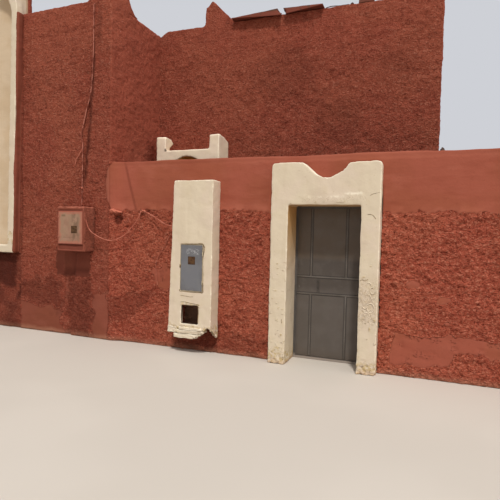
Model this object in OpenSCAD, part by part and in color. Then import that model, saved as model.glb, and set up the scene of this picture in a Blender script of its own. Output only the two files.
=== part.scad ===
// Red-rendered adobe house with a walled yard, in millimetres.
// X runs along the street front, Y into the plot and Z up, with the ground at z = 0.
// Plan sizes are measured from the street doorway's centre line and the street face of the walls.

/* [Tall block] */
// Distance from the street door's centre line to the tall block's corner
corner_x = 3433; // [3350:10:3700]
// Width of the tall block along the street
block_w = 5287; // [4800:10:6200]
// Depth of the whole house
house_d = 6000; // [5200:50:7500]
// Thickness of the house walls
wall_t = 400; // [350:10:450]
// Height of the walls under the roof deck
wall_h = 4600; // [4300:20:4750]
// Thickness of the parapets
parapet_t = 250; // [220:10:300]
// Thickness of the roof deck
roof_t = 250; // [180:10:300]
// Thickness of the floor
floor_t = 120; // [80:10:180]
// Top of the parapets
parapet_z = 5400; // [5300:20:5800]
// How much lower the passage side's parapet is
side_drop = 90; // [0:10:200]

/* [Main house] */
// Distance from the street face to the main house's front
main_y = 1373; // [1320:10:1800]
// Right end of the main house
main_right_x = 1375; // [1000:10:2200]
// Width of the horn on the main parapet
main_horn_w = 570; // [450:10:700]
// Height of the horn on the main parapet
main_horn_h = 410; // [300:10:600]
// Left edge of the horn, from the tall block's corner
main_horn_off = 883; // [800:10:1000]

/* [Yard walls] */
// Height of the street wall
yard_wall_h = 2820; // [2780:10:3000]
// Thickness of the street wall
yard_wall_t = 380; // [360:10:420]
// Right end of the street wall
yard_right_x = 3430; // [3100:10:4200]

/* [Corner horns] */
// Height of a corner horn above the parapet
horn_h = 700; // [500:20:900]
// Length of its foot along the front parapet
horn_foot = 560; // [500:10:640]
// Length of its foot along the side parapet
horn_side_foot = 705; // [600:5:800]
// Width of its tip
horn_tip = 200; // [150:10:240]

/* [Corner buttress] */
// Width of the corner buttress at the ground
buttress_foot_w = 765; // [700:5:820]
// Width of the corner buttress at the parapet
buttress_top_w = 250; // [200:10:400]
// How far the buttress stands proud
buttress_proud = 50; // [30:5:80]

/* [Left bay] */
// Width of the cream bay
bay_w = 1460; // [1300:10:1600]
// Underside of the bay
bay_z = 1320; // [1100:20:1500]
// Depth of the bay's sill
bay_sill_h = 135; // [100:5:200]
// Width of each bay jamb
bay_jamb_w = 130; // [100:5:180]
// How far the bay stands proud of the wall
bay_proud = 125; // [80:5:180]
// Depth of the recess behind the wall face
bay_recess = 115; // [80:5:120]
// Height where the bay's arch springs
bay_spring_z = 5390; // [5200:10:5400]
// Masonry over the crown of the bay's arch
bay_crown_t = 260; // [200:10:400]
// Height of the bay's two horns
bay_horn_h = 350; // [200:10:450]

/* [Street portal] */
// Width of the portal
portal_w = 1432; // [1340:4:1500]
// Height of the portal
portal_h = 2680; // [2640:10:2740]
// How far the portal stands proud of the street wall
portal_proud = 150; // [100:5:200]
// Width of the doorway
door_w = 956; // [900:4:1000]
// Height of the doorway
door_h = 2150; // [2080:10:2200]
// Width of the portal's notch at its top
notch_w = 648; // [500:4:700]
// Width of the notch's flat foot
notch_foot_w = 143; // [80:1:180]
// Depth of the notch
notch_d = 180; // [120:5:220]
// Depth of the lintel over the doorway
lintel_h = 250; // [200:10:300]

/* [Street door] */
// Distance from the street face to the door frame
frame_y = 285; // [200:5:290]
// Face width of the frame's stop
frame_face = 32; // [28:1:40]
// Width of the frame's leg beside the leaf
frame_leg = 22; // [18:1:25]
// Depth of the frame's leg
frame_d = 55; // [50:1:70]
// Thickness of the frame's stop
stop_t = 5; // [4:1:8]
// Thickness of the door leaf
leaf_t = 40; // [30:1:45]
// Running clearance round the leaf
leaf_gap = 7; // [6:1:10]
// Height of the steel threshold
sill_h = 30; // [20:1:40]
// Distance from the centre line to each upright moulding
moulding_x = 245; // [200:5:280]
// Width of a moulding strip
moulding_w = 22; // [16:1:30]
// Thickness of a moulding strip
moulding_t = 4; // [3:1:5]
// Height of the mid rail's lower moulding
rail_low_z = 925; // [850:5:980]
// Height of the mid rail's upper moulding
rail_high_z = 1165; // [1100:5:1250]

/* [Inner portal] */
// Width of the inner portal
inner_w = 1210; // [1100:10:1300]
// Distance from the tall block's corner to the inner portal
inner_off = 190; // [120:10:300]
// How far the inner portal stands proud of the main house
inner_proud = 400; // [250:10:420]
// Width of the arched inner doorway
inner_door_w = 700; // [640:10:800]
// Height of the arch's springing
inner_spring_z = 2695; // [2600:5:2750]
// Top of the bar over the arch
inner_bar_z = 3157; // [3120:5:3250]
// Height of the two horns above the bar
inner_horn_h = 243; // [150:5:300]
// Width of each horn
inner_horn_w = 185; // [150:5:220]
// Gap broken away behind the left horn's foot
inner_notch = 250; // [0:10:260]

/* [Meter pillar] */
// Distance from the street door's centre line to the pillar's middle
pillar_x = 1852; // [1700:4:1900]
// Width of the pillar
pillar_w = 634; // [600:4:700]
// How far the pillar stands proud
pillar_proud = 250; // [220:5:280]
// Top of the pillar
pillar_h = 2487; // [2300:5:2600]
// Thickness of the pillar's masonry shell
pillar_t = 70; // [60:5:80]
// Underside of the pillar at its lowest
pillar_foot_z = 231; // [200:5:260]
// Width of the pillar's steel cabinet
cabinet_w = 362; // [330:2:400]
// Height of the pillar's steel cabinet
cabinet_h = 675; // [600:5:700]
// Bottom of the pillar's steel cabinet
cabinet_z = 905; // [880:5:950]
// Depth of the steel cabinets
cabinet_d = 170; // [130:5:175]
// Width of the pillar's open niche
niche_w = 256; // [220:4:300]
// Height of the niche
niche_h = 270; // [230:5:290]
// Bottom of the niche
niche_z = 435; // [430:5:470]

/* [Meter box] */
// Distance from the tall block's corner to the meter box
box_off = 301; // [250:5:340]
// Width of the meter box
box_w = 536; // [520:2:560]
// Height of the meter box
box_h = 709; // [700:5:760]
// Underside of the meter box
box_z = 1400; // [1300:10:1500]
// How far the meter box stands proud
box_proud = 280; // [260:5:320]
// Height of the open slot under its steel cabinet
box_slot_h = 85; // [60:5:100]
// Thickness of the box's masonry top and foot
box_slab_t = 60; // [50:5:60]
// Thickness of the box's cheeks
box_cheek_t = 25; // [20:1:28]

/* [Steel cabinets] */
// Thickness of the cabinet sheet
sheet_t = 3; // [2:0.5:4]
// Running clearance round a cabinet door
lid_gap = 5; // [5:0.5:7]
// Thickness of a cabinet door
lid_t = 10; // [6:1:12]
// Side of the square meter window
window_w = 115; // [90:1:130]
// Height of the pillar window's middle above the cabinet's bottom
window_z = 443; // [400:1:480]
// Height of the box window's middle above the cabinet's bottom
box_window_z = 232; // [200:1:260]
// Distance of the box window's middle from the cabinet's right side
box_window_off = 168; // [140:1:190]

/* [Roof boards and cables] */
// Thickness of a roof board
board_t = 45; // [30:1:60]
// Depth of a roof board across the parapet
board_d = 380; // [300:10:450]
// How far a roof board overhangs the front
board_over = 130; // [80:10:160]
// Diameter of the service cable
service_d = 18; // [16:1:20]
// Diameter of the link cable
link_d = 12; // [11:1:13]

/* [Hidden] */

// Plan limits and the shift that puts the origin under the middle of the house
left_x = -(corner_x + block_w);
hinge_r = 5;
pin_proud = 8;
lid_proud = pin_proud + hinge_r;
front_y = -(box_proud + lid_proud);
mid_x = (left_x + yard_right_x) / 2;
mid_y = (front_y + house_d) / 2;
eps = 1;
red = [0.55, 0.28, 0.21];
smooth_red = [0.62, 0.33, 0.25];
cream = [0.85, 0.77, 0.65];
steel = [0.32, 0.29, 0.27];
grey = [0.43, 0.42, 0.43];

// Bay, inner portal, pillar and box places
block_mid_x = left_x + block_w / 2;
bay_arch_r = bay_w / 2 - bay_jamb_w;
bay_bar_z = bay_spring_z + bay_arch_r + bay_crown_t;
bay_horn_w = 260;
bay_curve = 2;
notch_curve = 1.35;
horn_curve = 2.2;
flank_steps = 8;
shoulder_r = 45;
peak_r = 60;
peak_off = 150;
inner_left_x = -corner_x + inner_off;
inner_mid_x = inner_left_x + inner_w / 2;
inner_door_left_x = inner_mid_x - inner_door_w / 2;
inner_door_right_x = inner_mid_x + inner_door_w / 2;
pillar_left_x = -pillar_x - pillar_w / 2;
box_right_x = -corner_x - box_off;
box_left_x = box_right_x - box_w;
box_mid_x = box_right_x - box_w / 2;
roof_z = wall_h + roof_t;
main_horn_x = -corner_x + main_horn_off;
box_cabinet_z = box_z + box_slab_t / 2 + box_slot_h;
box_cabinet_w = box_w - 2 * box_cheek_t;
box_cabinet_h = box_z + box_h - box_slab_t - box_cabinet_z;

// Door leaf and its hinge
leaf_half = door_w / 2 - frame_leg - leaf_gap;
leaf_y = frame_y + stop_t + 5;
leaf_z = sill_h + leaf_gap;
leaf_top = door_h - frame_leg - leaf_gap;
barrel_r = 8;
hinge_x = leaf_half + leaf_gap / 2;
hinge_y = frame_y + stop_t + frame_d + barrel_r + 1;
hinge_heights = [250, 1050, 1850];
barrel_h = 60;
barrel_gap = 0.5;
weld_w = 20;
weld_gap = 2;
tab_w = 30;
tab_edge = 10;
key_off = 33;
key_r = 14;
key_proud = 3;
case_t = 18;

// Steel cabinets' rims and hinges
rim_proud = 2;
pin_h = 25;
pin_parts = [0.2, 0.8];

// Points of an arc in the plane, from angle a to angle b
function arc(x, z, r, a, b, n) = [for (i = [0:n]) let (t = a + (b - a) * i / n)
    [x + r * cos(t), z + r * sin(t)]];

// Points of a concave flank that falls from (x0, z0) to (x1, z1)
function flank(x0, z0, x1, z1, curve) = [for (i = [0:flank_steps]) let (t = i / flank_steps)
    [x0 + (x1 - x0) * t, z1 + (z0 - z1) * pow(1 - t, curve)]];

// Moves plan sizes to the frame whose origin is under the middle of the house
module place() {
    translate([-mid_x, -mid_y, 0]) children();
}

// A box from its lowest to its highest corner
module block(low, high) {
    translate(low) cube(high - low);
}

// An outline in X and Z, drawn from depth y0 to depth y1
module front_slab(y0, y1) {
    translate([0, y1, 0]) rotate([90, 0, 0]) linear_extrude(y1 - y0) children();
}

// An outline in Y and Z, drawn from x0 to x1
module side_slab(x0, x1) {
    translate([x0, 0, 0]) rotate([90, 0, 90]) linear_extrude(x1 - x0) children();
}

// A straight wall with a thinner parapet on its outer edge, along X
module wall_along_x(x0, x1, y0, outer_low) {
    py = outer_low ? y0 : y0 + wall_t - parapet_t;
    block([x0, y0, 0], [x1, y0 + wall_t, wall_h]);
    block([x0, py, wall_h - eps], [x1, py + parapet_t, parapet_z]);
}

// The same along Y
module wall_along_y(y0, y1, x0, outer_low) {
    px = outer_low ? x0 : x0 + wall_t - parapet_t;
    block([x0, y0, 0], [x0 + wall_t, y1, wall_h]);
    block([px, y0, wall_h - eps], [px + parapet_t, y1, parapet_z]);
}

// The block of parapet that turns the corner behind a wall along X
module corner_return(x0, y0) {
    block([x0, y0, wall_h - eps], [x0 + parapet_t, y0 + wall_t, parapet_z]);
}

module front_wall_left() {
    color(red) place() {
        wall_along_x(left_x, block_mid_x - bay_w / 2, 0, true);
        corner_return(left_x, 0);
    }
}

module front_wall_right() {
    color(red) place() {
        wall_along_x(block_mid_x + bay_w / 2, -corner_x, 0, true);
        corner_return(-corner_x - parapet_t, 0);
    }
}

module bay_wall() {
    x0 = block_mid_x - bay_w / 2;
    x1 = block_mid_x + bay_w / 2;
    color(red) place() {
        block([x0, 0, 0], [x1, wall_t, bay_z]);
        block([x0, bay_recess, bay_z - eps], [x1, wall_t, wall_h]);
        block([x0, bay_recess, wall_h - eps], [x1, parapet_t, bay_bar_z]);
    }
}

module left_wall() {
    color(red) place() wall_along_y(wall_t, house_d - wall_t, left_x, true);
}

module rear_wall() {
    y0 = house_d - wall_t;
    color(red) place() {
        wall_along_x(left_x, main_right_x, y0, false);
        corner_return(left_x, y0);
        corner_return(main_right_x - parapet_t, y0);
    }
}

module side_wall() {
    x1 = -corner_x;
    color(red) place() {
        block([x1 - wall_t, wall_t, 0], [x1, main_y + wall_t, wall_h]);
        block([x1 - parapet_t, wall_t, wall_h - eps], [x1, main_y + parapet_t, parapet_z - side_drop]);
    }
}

module main_wall_left() {
    color(red) place() wall_along_x(-corner_x, inner_door_left_x, main_y, true);
}

module main_wall_right() {
    color(red) place() {
        wall_along_x(inner_door_right_x, main_right_x, main_y, true);
        corner_return(main_right_x - parapet_t, main_y);
    }
}

// The doorway's outline with its round head, widened by grow
module inner_arch_outline(grow = 0) {
    r = inner_door_w / 2 + grow;
    polygon(concat([[inner_mid_x + r, -eps]], arc(inner_mid_x, inner_spring_z, r, 0, 180, 16),
        [[inner_mid_x - r, -eps]]));
}

module main_wall_over_door() {
    color(red) place() difference() {
        union() {
            block([inner_door_left_x, main_y, inner_spring_z], [inner_door_right_x, main_y + wall_t, wall_h]);
            block([inner_door_left_x, main_y, wall_h - eps],
                [inner_door_right_x, main_y + parapet_t, parapet_z]);
        }
        front_slab(main_y - eps, main_y + wall_t + eps) inner_arch_outline();
    }
}

module right_wall() {
    x0 = main_right_x - wall_t;
    color(red) place() wall_along_y(main_y + wall_t, house_d - wall_t, x0, false);
}

module roof_left() {
    color(red) place() block([left_x + parapet_t, parapet_t, wall_h],
        [-corner_x - parapet_t, house_d - parapet_t, roof_z]);
}

module roof_main() {
    color(red) place() block([-corner_x - parapet_t, main_y + parapet_t, wall_h],
        [main_right_x - parapet_t, house_d - parapet_t, roof_z]);
}

module floor_left() {
    color(smooth_red) place() block([left_x + wall_t, wall_t, 0],
        [-corner_x - wall_t, house_d - wall_t, floor_t]);
}

module floor_main() {
    color(smooth_red) place() block([-corner_x - wall_t, main_y + wall_t, 0],
        [main_right_x - wall_t, house_d - wall_t, floor_t]);
}

// The meter box's outer block
module meter_box_block() {
    block([box_left_x, -box_proud, box_z], [box_right_x, 0, box_z + box_h]);
}

module corner_buttress() {
    color(red) place() difference() {
        front_slab(-buttress_proud, 0) polygon([[-corner_x, 0], [-corner_x, parapet_z],
            [-corner_x - buttress_top_w, parapet_z], [-corner_x - buttress_foot_w, 0]]);
        translate([0, -eps, 0]) meter_box_block();
        translate([0, eps, 0]) meter_box_block();
    }
}

// Outline of a horn's wing: upright on the outer side, with a concave flank that ends drop below its base
module horn_outline(foot, drop = 0) {
    r = horn_tip / 2;
    polygon(concat([[0, 0], [0, horn_h - r]], arc(r, horn_h - r, r, 180, 0, 8),
        flank(horn_tip, horn_h - r, foot, -drop, horn_curve), [[wall_t, -drop], [wall_t, 0]]));
}

// A corner horn with a wing along each parapet, its corner at the origin, pointing to +X and +Y
module corner_horn_solid(side_foot = horn_foot, drop = 0) {
    front_slab(0, parapet_t) horn_outline(horn_foot);
    side_slab(0, parapet_t) horn_outline(side_foot, drop);
}

module corner_horn() {
    color(red) place() translate([-corner_x, 0, parapet_z]) mirror([1, 0, 0])
        corner_horn_solid(horn_side_foot, side_drop);
}

module far_corner_horns() {
    color(red) place() {
        translate([left_x, 0, parapet_z]) corner_horn_solid();
        translate([left_x, house_d, parapet_z]) mirror([0, 1, 0]) corner_horn_solid();
        translate([main_right_x, house_d, parapet_z]) rotate([0, 0, 180]) corner_horn_solid();
        translate([main_right_x, main_y, parapet_z]) mirror([1, 0, 0]) corner_horn_solid();
    }
}

module main_horn() {
    color(red) place() translate([main_horn_x, 0, parapet_z]) front_slab(main_y, main_y + parapet_t)
        polygon(concat([[0, 0], [0, main_horn_h - 2 * peak_r]],
            arc(peak_off, main_horn_h - peak_r, peak_r, 150, 40, 6), [[main_horn_w, 0]]));
}

module bay_jambs() {
    x0 = block_mid_x - bay_w / 2;
    x1 = block_mid_x + bay_w / 2 - bay_jamb_w;
    color(cream) place() for (x = [x0, x1])
        block([x, -bay_proud, bay_z + bay_sill_h], [x + bay_jamb_w, bay_recess, bay_spring_z]);
}

module bay_sill() {
    color(cream) place() block([block_mid_x - bay_w / 2, -bay_proud, bay_z],
        [block_mid_x + bay_w / 2, bay_recess, bay_z + bay_sill_h]);
}

// Outline of the bay's head: a bar over the arch with a horn at each end, about the bay's middle
module bay_head_outline() {
    h = bay_w / 2;
    top = bay_bar_z + bay_horn_h;
    side = flank(h - bay_horn_w / 2, top, h - 2 * bay_horn_w, bay_bar_z, bay_curve);
    polygon(concat([[h, bay_spring_z], [h, top]], side,
        [for (i = [len(side) - 1:-1:0]) [-side[i][0], side[i][1]]], [[-h, top], [-h, bay_spring_z]]));
}

module bay_head() {
    color(cream) place() translate([block_mid_x, 0, 0]) front_slab(-bay_proud, bay_recess) difference() {
        bay_head_outline();
        translate([0, bay_spring_z]) circle(r = bay_arch_r, $fn = 64);
    }
}

module street_wall_left() {
    color(red) place() block([-corner_x, 0, 0], [-portal_w / 2, yard_wall_t, yard_wall_h]);
}

module street_wall_right() {
    color(red) place() block([portal_w / 2, 0, 0], [yard_right_x, yard_wall_t, yard_wall_h]);
}

module street_wall_over_door() {
    color(smooth_red) place()
        block([-portal_w / 2, 0, door_h + lintel_h], [portal_w / 2, yard_wall_t, yard_wall_h]);
}

module yard_side_wall() {
    color(red) place() block([yard_right_x - yard_wall_t, yard_wall_t, 0],
        [yard_right_x, house_d, yard_wall_h]);
}

module yard_rear_wall() {
    color(red) place() block([main_right_x, house_d - yard_wall_t, 0],
        [yard_right_x - yard_wall_t, house_d, yard_wall_h]);
}

module portal_jambs() {
    jamb_w = (portal_w - door_w) / 2;
    color(cream) place() for (x = [-portal_w / 2, door_w / 2])
        block([x, -portal_proud, 0], [x + jamb_w, yard_wall_t, door_h]);
}

// Outline of the portal's head with round shoulders and a notch with curved slopes
module portal_outline() {
    h = portal_w / 2;
    r = shoulder_r;
    slope = flank(notch_w / 2, portal_h, notch_foot_w / 2, portal_h - notch_d, notch_curve);
    polygon(concat([[h, door_h]], arc(h - r, portal_h - r, r, 0, 90, 5), slope,
        [for (i = [len(slope) - 1:-1:0]) [-slope[i][0], slope[i][1]]],
        arc(-h + r, portal_h - r, r, 90, 180, 5), [[-h, door_h]]));
}

module portal_head() {
    color(cream) place() {
        front_slab(-portal_proud, 0) portal_outline();
        block([-portal_w / 2, -eps, door_h], [portal_w / 2, yard_wall_t, door_h + lintel_h]);
    }
}

module door_frame() {
    h = door_w / 2;
    y1 = frame_y + stop_t;
    y2 = y1 + frame_d;
    color(steel) place() {
        difference() {
            block([-h, frame_y, 0], [h, y1, door_h]);
            block([-h + frame_face, frame_y - eps, sill_h], [h - frame_face, y1 + eps, door_h - frame_face]);
        }
        difference() {
            block([-h, y1 - eps, 0], [h, y2, door_h]);
            block([-h + frame_leg, y1 - 2 * eps, sill_h], [h - frame_leg, y2 + eps, door_h - frame_leg]);
        }
        for (z = hinge_heights) translate([0, 0, z - barrel_h - barrel_gap]) {
            translate([hinge_x, hinge_y, 0]) cylinder(r = barrel_r, h = barrel_h, $fn = 32);
            block([hinge_x, hinge_y - barrel_r / 2, 0], [h - weld_gap, hinge_y + barrel_r / 2, barrel_h]);
            block([h - weld_gap - weld_w + barrel_r / 2, y2 - eps, 0],
                [h - weld_gap, hinge_y + barrel_r / 2, barrel_h]);
        }
    }
}

module door_leaf() {
    y2 = leaf_y + leaf_t;
    color(steel) place() {
        block([-leaf_half, leaf_y, leaf_z], [leaf_half, y2, leaf_top]);
        for (z = hinge_heights) translate([0, 0, z]) {
            translate([hinge_x, hinge_y, 0]) cylinder(r = barrel_r, h = barrel_h, $fn = 32);
            block([leaf_half - tab_w, hinge_y - barrel_r / 2, 0],
                [hinge_x, hinge_y + barrel_r / 2, barrel_h]);
            block([leaf_half - tab_w, y2 - eps, 0],
                [leaf_half - tab_edge, hinge_y + barrel_r / 2, barrel_h]);
        }
    }
}

module door_mouldings() {
    edge_x = door_w / 2 - frame_face - stop_t;
    y0 = leaf_y - moulding_t;
    w = moulding_w / 2;
    color(steel) place() {
        for (z = [rail_low_z, rail_high_z])
            block([-edge_x, y0, z - w], [edge_x, leaf_y, z + w]);
        for (x = [-moulding_x, moulding_x]) {
            block([x - w, y0, leaf_z + moulding_t], [x + w, leaf_y, rail_low_z - w + eps]);
            block([x - w, y0, rail_high_z + w - eps], [x + w, leaf_y, leaf_top - frame_face]);
        }
    }
}

module door_lock() {
    lock_x = -leaf_half + key_off;
    mid_z = (rail_low_z + rail_high_z) / 2;
    y2 = leaf_y + leaf_t;
    color(steel) place() {
        translate([lock_x, leaf_y, mid_z - 2 * key_r]) rotate([90, 0, 0])
            cylinder(r = key_r, h = key_proud, $fn = 32);
        block([lock_x - 1.5 * key_r, y2, mid_z - 6 * key_r],
            [lock_x + 6 * key_r, y2 + case_t, mid_z + 4 * key_r]);
    }
}

module inner_portal_jambs() {
    color(cream) place() {
        block([inner_left_x, main_y - inner_proud, 0], [inner_door_left_x, main_y, inner_spring_z]);
        block([inner_door_right_x, main_y - inner_proud, 0],
            [inner_left_x + inner_w, main_y, inner_spring_z]);
    }
}

// Side outline of a horn on the inner portal, upright in front, its back foot back_y short of the house
module inner_horn_side(back_y) {
    y0 = main_y - inner_proud;
    y1 = main_y - back_y / 2;
    top = inner_bar_z + inner_horn_h;
    edge = inner_horn_h / 16;
    polygon([[y0, inner_bar_z - eps], [y0, top - edge], [y0 + edge, top], [y0 + inner_proud / 2, top - edge],
        [y1 - 2 * edge, top - 4 * edge], [y1, top - 5 * edge],
        [main_y - back_y, inner_bar_z + 4 * edge], [main_y - back_y, inner_bar_z - eps]]);
}

module inner_portal_head() {
    y0 = main_y - inner_proud;
    right_x = inner_left_x + inner_w;
    color(cream) place() {
        difference() {
            block([inner_left_x, y0, inner_spring_z], [right_x, main_y, inner_bar_z]);
            front_slab(y0 - eps, main_y + eps) inner_arch_outline();
        }
        side_slab(inner_left_x, inner_left_x + inner_horn_w) inner_horn_side(inner_notch);
        side_slab(right_x - inner_horn_w, right_x) inner_horn_side(0);
    }
}

// The pillar's broken foot: share of the width from its left edge, and height above its lowest point
broken_foot = [[0, 134], [0.08, 110], [0.28, 30], [0.62, 0], [0.79, 60], [0.88, 130], [1, 70]];

// Outline of the pillar with its broken foot, from its left edge
module pillar_outline() {
    foot = [for (p = broken_foot) [p[0] * pillar_w, pillar_foot_z + p[1]]];
    polygon(concat([[0, pillar_h]], foot, [[pillar_w, pillar_h]]));
}

module meter_pillar() {
    hollow_w = pillar_w - 2 * pillar_t;
    mid = pillar_w / 2;
    shelf_z = niche_z + niche_h + 40;
    color(cream) place() translate([pillar_left_x, 0, 0]) difference() {
        front_slab(-pillar_proud, 0) pillar_outline();
        block([pillar_t, -pillar_proud + pillar_t, -eps], [pillar_t + hollow_w, eps, shelf_z]);
        block([pillar_t, -pillar_proud + pillar_t, shelf_z + pillar_t],
            [pillar_t + hollow_w, eps, pillar_h - pillar_t]);
        block([mid - niche_w / 2, -pillar_proud - eps, niche_z],
            [mid + niche_w / 2, -pillar_proud + pillar_t + eps, niche_z + niche_h]);
        block([mid - cabinet_w / 2, -pillar_proud - eps, cabinet_z],
            [mid + cabinet_w / 2, -pillar_proud + pillar_t + eps, cabinet_z + cabinet_h]);
    }
}

// An open steel cabinet, its rim proud of a face at y, with two hinge barrels at one side (1 right, -1 left)
module cabinet_shell(x, y, z, w, h, side) {
    y0 = y - rim_proud;
    pin_x = x + side * (w / 2 - sheet_t - lid_gap / 2);
    reach = lid_gap / 2 + sheet_t;
    lug_h = pin_h - barrel_gap;
    difference() {
        block([x - w / 2, y0, z], [x + w / 2, y + cabinet_d, z + h]);
        block([x - w / 2 + sheet_t, y0 - eps, z + sheet_t],
            [x + w / 2 - sheet_t, y + cabinet_d - sheet_t, z + h - sheet_t]);
    }
    for (part = pin_parts) translate([pin_x, y - pin_proud, z + h * part - pin_h]) {
        cylinder(r = hinge_r, h = lug_h, $fn = 32);
        block([side > 0 ? 0 : -reach, -rim_proud, 0], [side > 0 ? reach : 0, pin_proud + eps, lug_h]);
    }
}

// The cabinet's inset door with a square window and its half of the hinge
module cabinet_lid(x, y, z, w, h, side, win_x, win_z) {
    y0 = y - rim_proud;
    pin_x = x + side * (w / 2 - sheet_t - lid_gap / 2);
    half = w / 2 - sheet_t - lid_gap;
    foot_y = pin_proud - rim_proud + eps;
    difference() {
        block([x - half, y0, z + sheet_t + lid_gap], [x + half, y0 + lid_t, z + h - sheet_t - lid_gap]);
        block([x + win_x - window_w / 2, y0 - eps, z + win_z - window_w / 2],
            [x + win_x + window_w / 2, y0 + lid_t + eps, z + win_z + window_w / 2]);
    }
    for (part = pin_parts) translate([pin_x, y - pin_proud, z + h * part]) {
        cylinder(r = hinge_r, h = pin_h, $fn = 32);
        block([side > 0 ? -tab_w : 0, -rim_proud, 0], [side > 0 ? 0 : tab_w, rim_proud, pin_h]);
        block([side > 0 ? -tab_w : lid_t + rim_proud, -rim_proud, 0],
            [side > 0 ? -lid_t - rim_proud : tab_w, foot_y, pin_h]);
    }
}

module meter_cabinet() {
    color(grey) place() cabinet_shell(-pillar_x, -pillar_proud, cabinet_z, cabinet_w, cabinet_h, 1);
}

module meter_cabinet_door() {
    color(grey) place()
        cabinet_lid(-pillar_x, -pillar_proud, cabinet_z, cabinet_w, cabinet_h, 1, 0, window_z);
}

module meter_box_surround() {
    color(red) place() difference() {
        meter_box_block();
        block([box_left_x + box_cheek_t, -box_proud - eps, box_z + box_slab_t / 2],
            [box_right_x - box_cheek_t, eps, box_z + box_h - box_slab_t]);
    }
}

module meter_box_cabinet() {
    color(grey) place()
        cabinet_shell(box_mid_x, -box_proud, box_cabinet_z, box_cabinet_w, box_cabinet_h, -1);
}

module meter_box_door() {
    color(grey) place() cabinet_lid(box_mid_x, -box_proud, box_cabinet_z, box_cabinet_w, box_cabinet_h, -1,
        box_cabinet_w / 2 - box_window_off, box_window_z);
}

// The boards that lie on the main parapet beside its horn, each by its distance from the horn and its length
board_places = [[5, 793], [917, 660]];

module roof_boards() {
    y0 = main_y - board_over;
    color("tan") place() for (b = board_places) translate([main_horn_x + main_horn_w + b[0], 0, 0])
        block([0, y0, parapet_z], [b[1], y0 + board_d, parapet_z + board_t]);
}

hook_x = -2850;
hook_z = 2066;
hook_r = 5;
hook_reach = 50;
hook_tip = 25;

module cable_hook() {
    color(grey) place() translate([hook_x, 0, hook_z]) {
        rotate([90, 0, 0]) cylinder(r = hook_r, h = hook_reach, $fn = 24);
        translate([0, -hook_reach, -hook_r]) cylinder(r = hook_r, h = hook_r + hook_tip, $fn = 24);
    }
}

// Route of the service cable down the tall block to the meter box
service_route = [[-3797, 8, 5352], [-3797, -7, 5332], [-3797, -15, 5315], [-3797, -20, 5285],
    [-3796, -20, 5000], [-3798, -20, 4575], [-3816, -20, 4200],
    [-3838, -20, 3980], [-3872, -20, 3830], [-3918, -20, 3700], [-3965, -20, 3520], [-4005, -20, 3380],
    [-4025, -20, 3270], [-4010, -20, 3180], [-3995, -20, 3120], [-3995, -20, 2900], [-3997, -20, 2600],
    [-3999, -20, 2300], [-4006, -20, 2160], [-4010, -20, 2095]];

// Route of the link cable from the meter box over the hook to the pillar
link_route = [[-3742, -235, 1925], [-3732, -235, 1895], [-3718, -234, 1850], [-3690, -231, 1785],
    [-3640, -222, 1720], [-3566, -200, 1668], [-3500, -185, 1632], [-3437, -170, 1610], [-3338, -150, 1590],
    [-3232, -130, 1614], [-3160, -115, 1648], [-3088, -100, 1696], [-3030, -85, 1760],
    [-2980, -72, 1818], [-2927, -60, 1890], [-2890, -50, 1955], [-2868, -42, 2020],
    [-2850, -36, 2056], [-2825, -36, 2062], [-2780, -40, 2046], [-2684, -50, 2008],
    [-2600, -60, 1970], [-2547, -70, 1942], [-2480, -80, 1908], [-2429, -88, 1880],
    [-2360, -100, 1852], [-2290, -112, 1838], [-2230, -120, 1834], [-2159, -125, 1833]];

function unit(v) = v / norm(v);
function tangent(p, i) = unit(p[min(i + 1, len(p) - 1)] - p[max(i - 1, 0)]);

// A round tube of n sides swept along the points of a route
module cable(route, d, n) {
    rings = [for (i = [0:len(route) - 1]) let (t = tangent(route, i), u = unit(cross(t, [0.3, 1, 0.1])),
        v = cross(t, u)) for (k = [0:n - 1])
        route[i] + d / 2 * (u * cos(360 * k / n) + v * sin(360 * k / n))];
    sides = [for (i = [0:len(route) - 2], k = [0:n - 1]) let (a = i * n + k, b = i * n + (k + 1) % n)
        [a, b, b + n, a + n]];
    ends = [[for (k = [n - 1:-1:0]) k], [for (k = [0:n - 1]) (len(route) - 1) * n + k]];
    polyhedron(concat(rings), concat(sides, ends));
}

module service_cable() {
    color(red) place() cable(service_route, service_d, 10);
}

module link_cable() {
    color(red) place() cable(link_route, link_d, 8);
}

front_wall_left();
front_wall_right();
bay_wall();
left_wall();
rear_wall();
side_wall();
main_wall_left();
main_wall_right();
main_wall_over_door();
right_wall();
roof_left();
roof_main();
floor_left();
floor_main();
corner_buttress();
corner_horn();
far_corner_horns();
main_horn();
bay_jambs();
bay_sill();
bay_head();
street_wall_left();
street_wall_right();
street_wall_over_door();
yard_side_wall();
yard_rear_wall();
portal_jambs();
portal_head();
door_frame();
door_leaf();
door_mouldings();
door_lock();
inner_portal_jambs();
inner_portal_head();
meter_pillar();
meter_cabinet();
meter_cabinet_door();
meter_box_surround();
meter_box_cabinet();
meter_box_door();
roof_boards();
cable_hook();
service_cable();
link_cable();
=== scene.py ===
import math
from functools import cached_property
import bpy
import numpy as np
from mathutils import Matrix, Vector


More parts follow.
